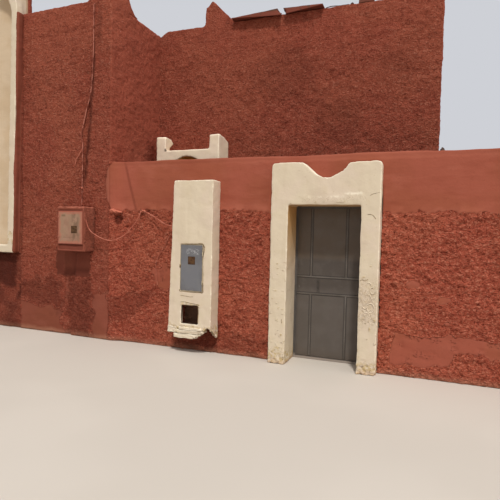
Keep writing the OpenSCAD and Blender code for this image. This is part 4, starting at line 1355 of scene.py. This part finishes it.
def make_pillar():
    """The meter pillar leans a little, and its foot is broken away at the right."""
    piece = merged_copy("pillar_plaster", ["meter_pillar"])
    plaster(piece, 0.010, pillar_still, 0.45, pillar_loss, 3)
    at = Corners(piece)
    across = np.clip((PILLAR_RIGHT - at.x) / (PILLAR_RIGHT - PILLAR_LEFT), 0, 1)
    rim = rise(at.x, PILLAR_LEFT + 0.13, PILLAR_LEFT + 0.02)
    across = across + (rim - across) * rise(at.z, 0.78, 0.88)
    lean(piece, np.interp(at.z, (0.3, 0.9, 2.49), (-0.052, -0.034, 0.016)) * across, "X")
    at = Corners(piece)
    side = rise(at.x, PILLAR_RIGHT - 0.10, PILLAR_RIGHT - 0.05) * rise(at.z, 0.46, 0.34)
    lean(piece, side * (0.05 - 0.13 * rise(at.y, -0.22, -0.03)), "Z")
    end_plaster(piece, ["meter_pillar"], cream, pillar_still, worn=pillar_worn, stain=pillar_dark_niche_and_shade)


def make_inner_portal():
    """The arched portal of the house's own doorway, its reveals warm with painted bounce light."""
    nodes = ["inner_portal_jambs", "inner_portal_head"]
    piece = merged_copy("inner_portal", nodes)

    def still(at):
        return at.y > MAIN_Y - 0.01

    def ochre(at):
        return (np.abs(at.x - INNER_X) < INNER_HALF) & (at.z < INNER_TOP) & (at.back > -0.5)

    # A hole in the horn, shown only as a spot of painted shade
    def hole(at):
        return rise(np.hypot(at.x + 3.06, at.z - 3.165), 0.03, 0.018) * (at.y < 1.0)

    plaster(piece, 0.015, still, 0.38)
    end_plaster(piece, nodes, cream_old, still, worn=lambda at: rise(at.z, 0.4, 0.1), ochre=ochre, stain=hole)


def make_bay():
    """The cream bay, whose right jamb leans a little."""
    nodes = ["bay_jambs", "bay_sill", "bay_head"]
    piece = merged_copy("bay_plaster", nodes)

    def still(at):
        return at.y > 0.10

    def worn(at):
        low = rise(at.z + at.ragged(0.1, 32, 0.1), 1.74, 1.70) * (at.z > 1.47) * (at.back < -0.5)
        return low * rise(at.grit(0.06, 33), 0.45, 0.6) * 0.8

    plaster(piece, 0.016, still, 0.4)
    at = Corners(piece)
    share = rise(at.x, -6.5, -5.55) * rise(at.y, 0.05, -0.02) * rise(at.z, 5.7, 5.4)
    lean(piece, bay_lean(np.maximum(at.z, BAY_SILL_Z)) * share, "X")
    end_plaster(piece, nodes, cream_bay, still, worn=worn)


def make_box_surround():
    """The meter box's surround, plastered with the wall and limewashed, with painted light on its right flank
    and painted shade in its slot and beneath it, and the rough fill of its slot.
    """
    inner_y, side_x = -0.262, SURROUND_RIGHT - 0.008

    def hollow(at):
        within = (at.y > inner_y) & (at.x > SURROUND_LEFT) & (at.x < SURROUND_RIGHT) & (at.z < 2.07)
        flank = (at.right > 0.6) & (at.x > side_x)
        return (within & (at.z > SURROUND_FOOT) & ~flank) | (at.y > -0.006)

    piece = merged_copy("box_surround_plaster", ["meter_box_surround"])
    skin(piece, 0.011)
    at = Corners(piece)
    show = 1.0 - hollow(at)
    shown = weigh(piece, "shown", show)
    soften(piece, 3, shown)
    push(piece, WAVE, 0.010, shown)
    push(piece, CRUMBS, 0.022, weigh(piece, "crown", rise(at.z, 2.075, 2.10) * show), 0.55)
    apply_all(piece)
    at = Corners(piece)
    top = rise(at.z + at.ragged(0.05, 34, 0.02), 2.080, 2.094) * rise(at.grit(0.07, 35), 0.1, 0.35)
    gloom = (at.back < -0.2) & (at.z > SURROUND_FOOT) & (at.z < 1.52) & (at.y > -0.26)
    flank = rise(at.x, -3.80, -3.735) * (at.right > 0.5)
    speckle = rise(at.grit(0.05, 38), 0.5, 0.75) * 0.35 * flank
    # Painted light: the right flank is paler, with pale speckles and rougher colour
    mark(piece, "smooth", 1 - 0.42 * flank)
    mark(piece, "pale", np.maximum(top, speckle + 0.42 * flank))
    # Painted shade in the slot and on the surround's underside
    mark(piece, "stain", np.maximum(gloom * 0.5, rise(at.z, SURROUND_FOOT, 1.405) * 0.4))
    place_in_house(piece, red_old, ["meter_box_surround"], degrees=50)

    fill = block("box_slot_plaster", (SURROUND_LEFT, BOX_Y + 0.016, SURROUND_FOOT + 0.005),
        (SURROUND_RIGHT, BOX_Y + 0.06, 1.514), 0.004, 12)
    push(fill, WAVE, 0.012)
    push(fill, CRUMBS, 0.010)
    apply_all(fill)
    mark(fill, "smooth", 1.0)
    # Painted shade on the slot's fill, darkest at its top under the cabinet
    mark(fill, "stain", 0.3 + 0.4 * rise(Corners(fill).z, 1.47, 1.51))
    mark(fill, "pale", 0.0)
    place_in_house(fill, red_old)


# Small pieces

def block(name, low, high, bevel=0.003, cuts=0):
    """A bevelled bar between two corners."""
    piece = add_cube(low, high)
    piece.name = piece.data.name = name
    bpy.ops.object.transform_apply(location=True, rotation=True, scale=True)
    if cuts:
        bpy.ops.object.mode_set(mode="EDIT")
        bpy.ops.mesh.subdivide(number_cuts=cuts)
        bpy.ops.object.mode_set(mode="OBJECT")
    worn = piece.modifiers.new("worn_edges", "BEVEL")
    worn.width = bevel
    worn.segments = 2
    worn.angle_limit = math.radians(40)
    apply_all(piece)
    return piece


def lump(name, middle, size, rough=0.35, detail=4):
    """A rounded clod of plaster or stone."""
    bpy.ops.object.select_all(action="DESELECT")
    bpy.ops.mesh.primitive_ico_sphere_add(subdivisions=detail, radius=1, location=spot(*middle), scale=size)
    piece = bpy.context.object
    piece.name = piece.data.name = name
    bpy.ops.object.transform_apply(location=True, rotation=True, scale=True)
    push(piece, texture("clod_shape", max(size) * 0.8, 2), min(size) * rough * 4)
    push(piece, GRAINS, min(size) * 0.5, middle=0.3)
    apply_all(piece)
    return piece


def wire(name, points, width):
    """A thin bent line as a mesh."""
    line = bpy.data.curves.new(name, "CURVE")
    line.dimensions = "3D"
    line.bevel_depth = width / 2
    line.bevel_resolution = 1
    line.resolution_u = 4
    line.use_fill_caps = True
    spline = line.splines.new("BEZIER")
    spline.bezier_points.add(len(points) - 1)
    for point, place in zip(spline.bezier_points, points):
        point.co = spot(*place)
        point.handle_left_type = point.handle_right_type = "AUTO"
    piece = bpy.data.objects.new(name, line)
    bpy.context.collection.objects.link(piece)
    only(piece)
    bpy.ops.object.convert(target="MESH")
    return bpy.context.object


def shift(piece, choose, move):
    """Moves the corners that the rule picks."""
    picked = choose(Corners(piece))
    only(piece)
    bpy.ops.object.mode_set(mode="EDIT")
    bpy.ops.mesh.select_mode(type="VERT")
    bpy.ops.mesh.select_all(action="DESELECT")
    bpy.ops.object.mode_set(mode="OBJECT")
    piece.data.vertices.foreach_set("select", picked)
    bpy.ops.object.mode_set(mode="EDIT")
    bpy.ops.transform.translate(value=move)
    bpy.ops.object.mode_set(mode="OBJECT")


# Rough clods on the walls: middle, half sizes and fineness; the first three are the yard wall's broken stub
CLODS_ON_WALLS = (((-3.365, -0.052, 2.055), (0.052, 0.045, 0.030), 4),
    ((-3.300, -0.045, 2.040), (0.055, 0.045, 0.026), 4), ((-3.245, -0.035, 2.034), (0.038, 0.036, 0.016), 4),
    ((-2.836, -0.012, 2.052), (0.045, 0.026, 0.022), 4), ((-4.004, -0.020, 2.423), (0.016, 0.015, 0.020), 3))

# Stones that lie on the walls: middle and half sizes
STONES = (((1.40, 0.16, 2.842), (0.024, 0.020, 0.030)), ((1.655, 0.20, 2.826), (0.016, 0.015, 0.012)),
    ((0.022, 1.45, 5.422), (0.020, 0.020, 0.018)))

# Broken plaster at the pillar's foot: lowest and highest corner, bevel and cuts
SLABS = (((-2.120, -0.262, 0.226), (-1.720, -0.13, 0.290), 0.012, 9),
    ((-2.224, -0.258, 0.296), (-2.070, -0.12, 0.386), 0.016, 7),
    ((-2.075, -0.264, 0.296), (-1.640, -0.13, 0.346), 0.012, 9),
    ((-2.030, -0.270, 0.352), (-1.680, -0.15, 0.386), 0.012, 9))


def make_wall_clods():
    """The yard wall's broken stub and single clods, pale, with painted highlight on top and painted shade
    beneath.
    """
    clods = join("pale_clods", [lump("clod", middle, size, detail=detail)
        for middle, size, detail in CLODS_ON_WALLS])
    at = Corners(clods)
    mark(clods, "smooth", 1.0)
    # Painted highlight on the tops and painted shade beneath
    mark(clods, "pale", 0.35 + 0.5 * rise(at.up, -0.2, 0.6))
    mark(clods, "stain", rise(at.up, -0.2, -0.8) * 0.5)
    place_in_house(clods, red_fresh)


def make_loose_stones():
    stones = [lump("stone", middle, size, detail=3) for middle, size in STONES]
    place_in_house(join("loose_stones", stones), dark_stone)


def make_pillar_foot():
    """The broken plaster under the meter pillar."""
    slabs = [block("slab", *slab) for slab in SLABS]
    shift(slabs[0], lambda at: (at.x > -1.78) & (at.z < 0.26), (-0.05, 0, 0.012))
    shift(slabs[2], lambda at: (at.x > -1.70) & (at.z < 0.32), (-0.04, 0, 0.010))
    for slab in slabs:
        push(slab, RIPPLE, 0.020)
        push(slab, CRUMBS, 0.022)
        apply_all(slab)
    rubble = join("pillar_foot_plaster", slabs)
    at = Corners(rubble)
    # Painted highlight on the slabs' tops and painted shade beneath
    mark(rubble, "edge", 0.25 + rise(at.up, 0.0, 0.7) * 0.75)
    mark(rubble, "worn", rise(at.grit(0.03, 36), 0.5, 0.8) * 0.7)
    mark(rubble, "stain", rise(at.up, -0.2, -0.8) * 0.6)
    place_in_house(rubble, cream)


# Thin wires on the walls: each one's points and thickness
LOOSE_END = (([(-3.999, -0.020, 3.065), (-4.035, -0.026, 3.005), (-4.075, -0.024, 2.951),
        (-4.129, -0.022, 2.880), (-4.145, -0.018, 2.815)], 0.013),
    ([(-4.024, -0.020, 3.285), (-4.050, -0.026, 3.325), (-4.080, -0.018, 3.330)], 0.010))
CURLED_WIRE = (([(-3.24, -0.016, 2.02), (-3.20, -0.020, 1.99), (-3.165, -0.018, 1.95),
        (-3.125, -0.020, 1.968), (-3.092, -0.018, 1.935), (-3.105, -0.018, 1.895), (-3.15, -0.018, 1.884),
        (-3.172, -0.018, 1.915)], 0.006),)
THIN_WIRES = (([(-2.800, -0.030, 2.04), (-2.74, -0.020, 1.99), (-2.70, -0.018, 1.95),
        (-2.66, -0.018, 1.972), (-2.61, -0.018, 1.96), (-2.60, -0.016, 1.92)], 0.007),
    ([(-2.36, -0.018, 1.68), (-2.43, -0.020, 1.55), (-2.48, -0.018, 1.47),
        (-2.58, -0.022, 1.28), (-2.572, -0.022, 1.1), (-2.556, -0.016, 0.93)], 0.009))


def make_small_wires():
    for name, wires, material in (("loose_cable_end", LOOSE_END, link_paint),
            ("curled_wire", CURLED_WIRE, cable_paint), ("thin_wires", THIN_WIRES, link_paint)):
        made = join(name, [wire("wire", points, width) for points, width in wires])
        place_in_house(made, material)


# Cracks and seams on the plaster faces: points across and up
PORTAL_CRACKS = (((0.584, 2.262), (0.615, 2.280), (0.651, 2.288), (0.700, 2.301)),
    ((0.560, 2.027), (0.619, 2.020), (0.640, 1.998), (0.659, 1.972)),
    ((0.49, 1.19), (0.52, 1.205), (0.55, 1.195), (0.59, 1.215)),
    ((-0.53, 0.61), (-0.523, 0.575), (-0.528, 0.555)))
PILLAR_CRACKS = (((-2.165, 0.397), (-2.10, 0.400), (-2.02, 0.396), (-1.94, 0.408)),
    ((-2.018, 0.745), (-1.96, 0.752), (-1.90, 0.744), (-1.82, 0.735), (-1.75, 0.728), (-1.716, 0.718)),
    ((-2.02, 0.84), (-1.93, 0.835), (-1.86, 0.828), (-1.82, 0.834)))
PILLAR_SEAMS = (((-2.036, 0.930), (-2.034, 0.903), (-1.98, 0.900), (-1.85, 0.898), (-1.70, 0.902),
        (-1.668, 0.900), (-1.666, 0.96), (-1.669, 1.04)),
    ((-1.67, 1.40), (-1.669, 1.582), (-1.78, 1.584), (-1.95, 1.582)),
    ((-1.734, 0.705), (-1.73, 0.60), (-1.735, 0.47)))

# Holes in the plaster, shown as dark lumps of painted shade: middle and half sizes
HOLES = (((0.487, PORTAL_Y + 0.002, 2.262), (0.012, 0.004, 0.008)),
    ((0.345, PORTAL_Y + 0.002, 2.245), (0.009, 0.004, 0.006)),
    ((-2.034, PILLAR_Y + 0.001, 1.262), (0.015, 0.008, 0.030)))

# Curled peel marks on the portal's right jamb: middle, radius, and first and last turn in degrees
CURLS = ((0.628, 0.852, 0.046, 200, 500), (0.612, 0.850, 0.024, 150, 330), (0.590, 0.975, 0.042, -50, 130),
    (0.655, 1.075, 0.034, 80, 290), (0.580, 0.735, 0.046, 10, 150), (0.650, 0.690, 0.030, 110, 320),
    (0.600, 1.135, 0.030, 0, 170), (0.560, 0.880, 0.030, 190, 330), (0.672, 0.955, 0.022, 60, 260))


def make_cracks():
    proud = 0.0015
    made = []
    for name, lines, face_y, width in (("crack", PORTAL_CRACKS, PORTAL_Y, 0.0055),
            ("crack", PILLAR_CRACKS, PILLAR_Y, 0.0055), ("seam", PILLAR_SEAMS, PILLAR_Y, 0.009)):
        made += [wire(name, [(x, face_y - proud, z) for x, z in line], width) for line in lines]
    made += [lump("hole", middle, size, detail=2) for middle, size in HOLES]
    place_in_house(join("plaster_cracks", made), crack_shade)


def make_peel_ridges():
    steps, stretch = 6, 1.25
    curls = []
    for x, z, radius, first, last in CURLS:
        turns = [math.radians(first + (last - first) * n / steps) for n in range(steps + 1)]
        curls.append(wire("curl", [(x + radius * math.cos(t), PORTAL_Y + 0.001,
            z + radius * stretch * math.sin(t)) for t in turns], 0.012))
    ridges = join("peel_ridges", curls)
    at = Corners(ridges)
    # Painted highlight on the ridges' upper sides and painted shade on their lower sides
    mark(ridges, "edge", rise(at.up, 0.0, 0.6) * 0.7)
    mark(ridges, "stain", rise(at.up, 0.0, -0.6) * 0.35)
    place_in_house(ridges, cream)


def make_roof_boards():
    """Two old boards on the parapet, each sagging and lifting by its own amounts at its two ends."""
    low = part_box("roof_boards")[0].z
    boards = []
    for left, right, sags, lifts in ((-1.985, -1.165, (0.0, -0.062), (-0.030, 0.012)),
            (-1.063, -0.414, (-0.058, 0.0), (0.004, -0.022))):
        board = block("board", (left, MAIN_Y - 0.10, low + 0.001), (right, MAIN_Y + 0.235, low + 0.036),
            0.003, 7)
        at = Corners(board)
        lower_edge = rise(at.y, MAIN_Y + 0.03, MAIN_Y - 0.09) * rise(at.z, low + 0.022, low + 0.012)
        sag = np.interp(at.x, (left, right), sags) * lower_edge
        lean(board, sag + np.interp(at.x, (left, right), lifts) * rise(at.z, low + 0.012, low + 0.026), "Z")
        push(board, WAVE, 0.006, direction="Z")
        push(board, RIPPLE, 0.003)
        apply_all(board)
        boards.append(board)
    shift(boards[0], lambda at: (at.x > -1.20) & (at.y < MAIN_Y) & (at.z < low + 0.005), (0.05, 0, 0))
    shift(boards[1], lambda at: (at.x < -1.03) & (at.y < MAIN_Y) & (at.z < low + 0.005), (0.045, 0, 0))
    made = join("parapet_boards", boards)
    at = Corners(made)
    mark(made, "pale", rise(at.z, low + 0.030, low + 0.022) * rise(at.y, MAIN_Y + 0.10, MAIN_Y))
    place_in_house(made, board_wood, ["roof_boards"], degrees=40)


def make_debris():
    """Sticks and a broken brick that lie on the parapet."""
    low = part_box("roof_boards")[0].z
    sticks = []
    for points, width in (
            (((-0.40, 1.44, 0.012), (-0.30, 1.43, 0.022), (-0.16, 1.44, 0.014), (-0.03, 1.45, 0.020)), 0.014),
            (((-0.28, 1.52, 0.012), (-0.18, 1.47, 0.026), (-0.10, 1.43, 0.014)), 0.010)):
        sticks.append(wire("stick", [(x, y, low + up) for x, y, up in points], width))
    brick = block("brick", (0.13, 1.40, low - 0.006), (0.36, 1.52, low + 0.085), 0.008, 3)
    push(brick, RIPPLE, 0.014)
    apply_all(brick)
    debris = join("parapet_debris", sticks + [brick])
    mark(debris, "pale", (Corners(debris).x > 0.1) * 0.6)
    place_in_house(debris, board_wood, degrees=40)


def make_hinge_barrel(z):
    """One upright barrel at the leaf's right edge."""
    bpy.ops.object.select_all(action="DESELECT")
    middle = spot(0.4525, 0.354, z)
    bpy.ops.mesh.primitive_cylinder_add(vertices=20, radius=0.008, depth=0.10, location=middle)
    bpy.ops.object.transform_apply(location=True, rotation=True, scale=True)
    barrel = bpy.context.object
    chamfer = barrel.modifiers.new("chamfer", "BEVEL")
    chamfer.width = 0.0015
    chamfer.segments = 2
    apply_all(barrel)
    return barrel


def make_door_sheet():
    """The leaf as a thin sheet box, pushed in a little in its four panels, with its hinge barrels."""
    sheet = block("door_sheet", (-LEAF_HALF, LEAF_Y, LEAF_FOOT), (LEAF_HALF, 0.335, LEAF_TOP), 0.004, 14)
    at = Corners(sheet)
    inner = rise(LEAF_HALF - np.abs(at.x), 0.01, 0.08)
    inner = inner * rise(np.minimum(at.z - LEAF_FOOT, LEAF_TOP - at.z), 0.01, 0.08)
    panel = rise(np.abs(np.abs(at.x) - BAR_X), 0.02, 0.07)
    panel = panel * rise(np.abs(np.abs(at.z - RAIL_Z) - RAIL_HALF), 0.02, 0.07)
    push(sheet, WAVE, 0.007, weigh(sheet, "panels", inner * panel), 0.75)
    apply_all(sheet)
    parts = [sheet]
    for z in (0.25, 1.05, 1.85):
        parts.append(make_hinge_barrel(z))
        parts.append(block("leaf_tab", (0.425, 0.333, z - 0.045), (LEAF_HALF, 0.358, z + 0.045), 0.001))
    place_in_house(join("door_sheet", parts), door_paint, ["door_leaf"], "door", 40)


def make_door_bars():
    """Flat bars welded on the leaf, with the keyhole's plate."""
    half = 0.011
    front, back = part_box("door_mouldings")[0].y - STREET_Y - 0.001, LEAF_Y + 0.0015
    lower, upper = RAIL_Z - RAIL_HALF, RAIL_Z + RAIL_HALF
    strips = []
    for x in (-BAR_X, BAR_X):
        strips.append(block("bar", (x - half, front, 0.045), (x + half, back, lower - half), 0.0015))
        strips.append(block("bar", (x - half, front, upper + half), (x + half, back, 2.115), 0.0015))
    for z in (lower, upper):
        strips.append(block("bar", (-0.443, front, z - half), (0.443, back, z + half), 0.0015))
    plate = lump("keyhole_plate", (-0.416, LEAF_Y - 0.0005, 1.017), (0.013, 0.0035, 0.016), 0.1, 3)
    made = join("door_bars", strips + [plate])
    place_in_house(made, bar_paint, ["door_mouldings"], "door", 40)


def make_panes():
    for name, middle, slot, body in (("pillar_lid_pane", PILLAR_PANE, "cabinet_steel", "pillar_lid"),
            ("box_lid_pane", BOX_PANE, "box_steel", "box_lid")):
        x, y, z = middle
        low = (x - PANE_HALF, y + 0.0005, z - PANE_HALF)
        pane = block(name, low, (x + PANE_HALF, y + 0.0035, z + PANE_HALF), 0.0008, 3)
        place_in_house(pane, pane_material, body=body, degrees=40)


make_street_wall("street_render_left", ["street_wall_left"],
    ((CORNER_X - 0.055, 0, 0), (CORNER_X, YARD_T, WALL_TOP - 0.002)), True)
make_street_wall("street_render_right", ["street_wall_right", "street_wall_over_door"],
    ((-PORTAL_HALF - 0.055, 0, 2.42), (-PORTAL_HALF + 0.01, YARD_T, WALL_TOP)), False)
make_tall_front()
make_tall_left()
make_passage_wall()
make_main_front()
make_plain_walls()
make_yard_walls()
make_far_horns()
make_portal()
make_pillar()
make_inner_portal()
make_bay()
make_box_surround()
make_wall_clods()
make_loose_stones()
make_pillar_foot()
make_small_wires()
make_cracks()
make_peel_ridges()
make_roof_boards()
make_debris()
make_door_sheet()
make_door_bars()
make_panes()
bpy.data.objects.remove(grain_frame)

for material, nodes in ((frame_paint, ("door_frame", "door_lock")),
        (cabinet_paint, ("meter_cabinet", "meter_cabinet_door")),
        (box_paint, ("meter_box_cabinet", "meter_box_door")), (iron, ("cable_hook",)),
        (roof_earth, ("roof_left", "roof_main")), (floor_earth, ("floor_left", "floor_main"))):
    for node in nodes:
        dress(node, material)


# Light, floor and background

def add_stage():
    bpy.ops.object.select_all(action="DESELECT")
    bpy.ops.mesh.primitive_plane_add(size=160, location=(0, 0, -0.004))
    floor = bpy.context.object
    floor.name = "pale_floor"
    m = Finish("pale_floor", 0.95, 0.1)
    floor.data.materials.append(m.finish(m.mottled(3.0, paint(204, 195, 184), paint(208, 199, 188))))


def add_sun(name, towards, strength, size, tint):
    """A sun lamp; towards is the way to it, and size its width in degrees."""
    lamp = bpy.data.lights.new(name, "SUN")
    lamp.energy = strength
    lamp.angle = math.radians(size)
    lamp.color = tint
    sun = bpy.data.objects.new(name, lamp)
    sun.matrix_world = (-Vector(towards)).to_track_quat("-Z", "Y").to_matrix().to_4x4()
    bpy.context.collection.objects.link(sun)


def add_world():
    """A soft pale sky that lights at its own strength and is seen as a plain backdrop."""
    world = bpy.data.worlds.new("pale_sky")
    bpy.context.scene.world = world
    world.use_nodes = True
    sky = Shades(world.node_tree)
    ray = sky.put("ShaderNodeLightPath").outputs
    seen = sky.calc("MAXIMUM", ray["Is Camera Ray"],
        sky.calc("MAXIMUM", ray["Is Glossy Ray"], ray["Is Transmission Ray"]))
    backdrop = world.node_tree.nodes["Background"].inputs
    sky.feed(sky.mix(seen, (0.95, 0.97, 1.0, 1.0), paint(206, 208, 214)), backdrop["Color"])
    sky.feed(sky.between(seen, 0.0, 1.0, 0.44, 1.0), backdrop["Strength"])


add_stage()
add_sun("key_light", (0.189, -0.520, 0.833), 2.35, 6.0, (1.0, 0.98, 0.945))
add_sun("side_light", (0.88, -0.18, 0.44), 0.86, 60.0, (1.0, 0.96, 0.91))
add_sun("fill_light", (-0.55, 0.55, 0.62), 0.4, 40.0, (0.95, 0.97, 1.0))
add_world()
bpy.context.scene.view_settings.view_transform = "Standard"
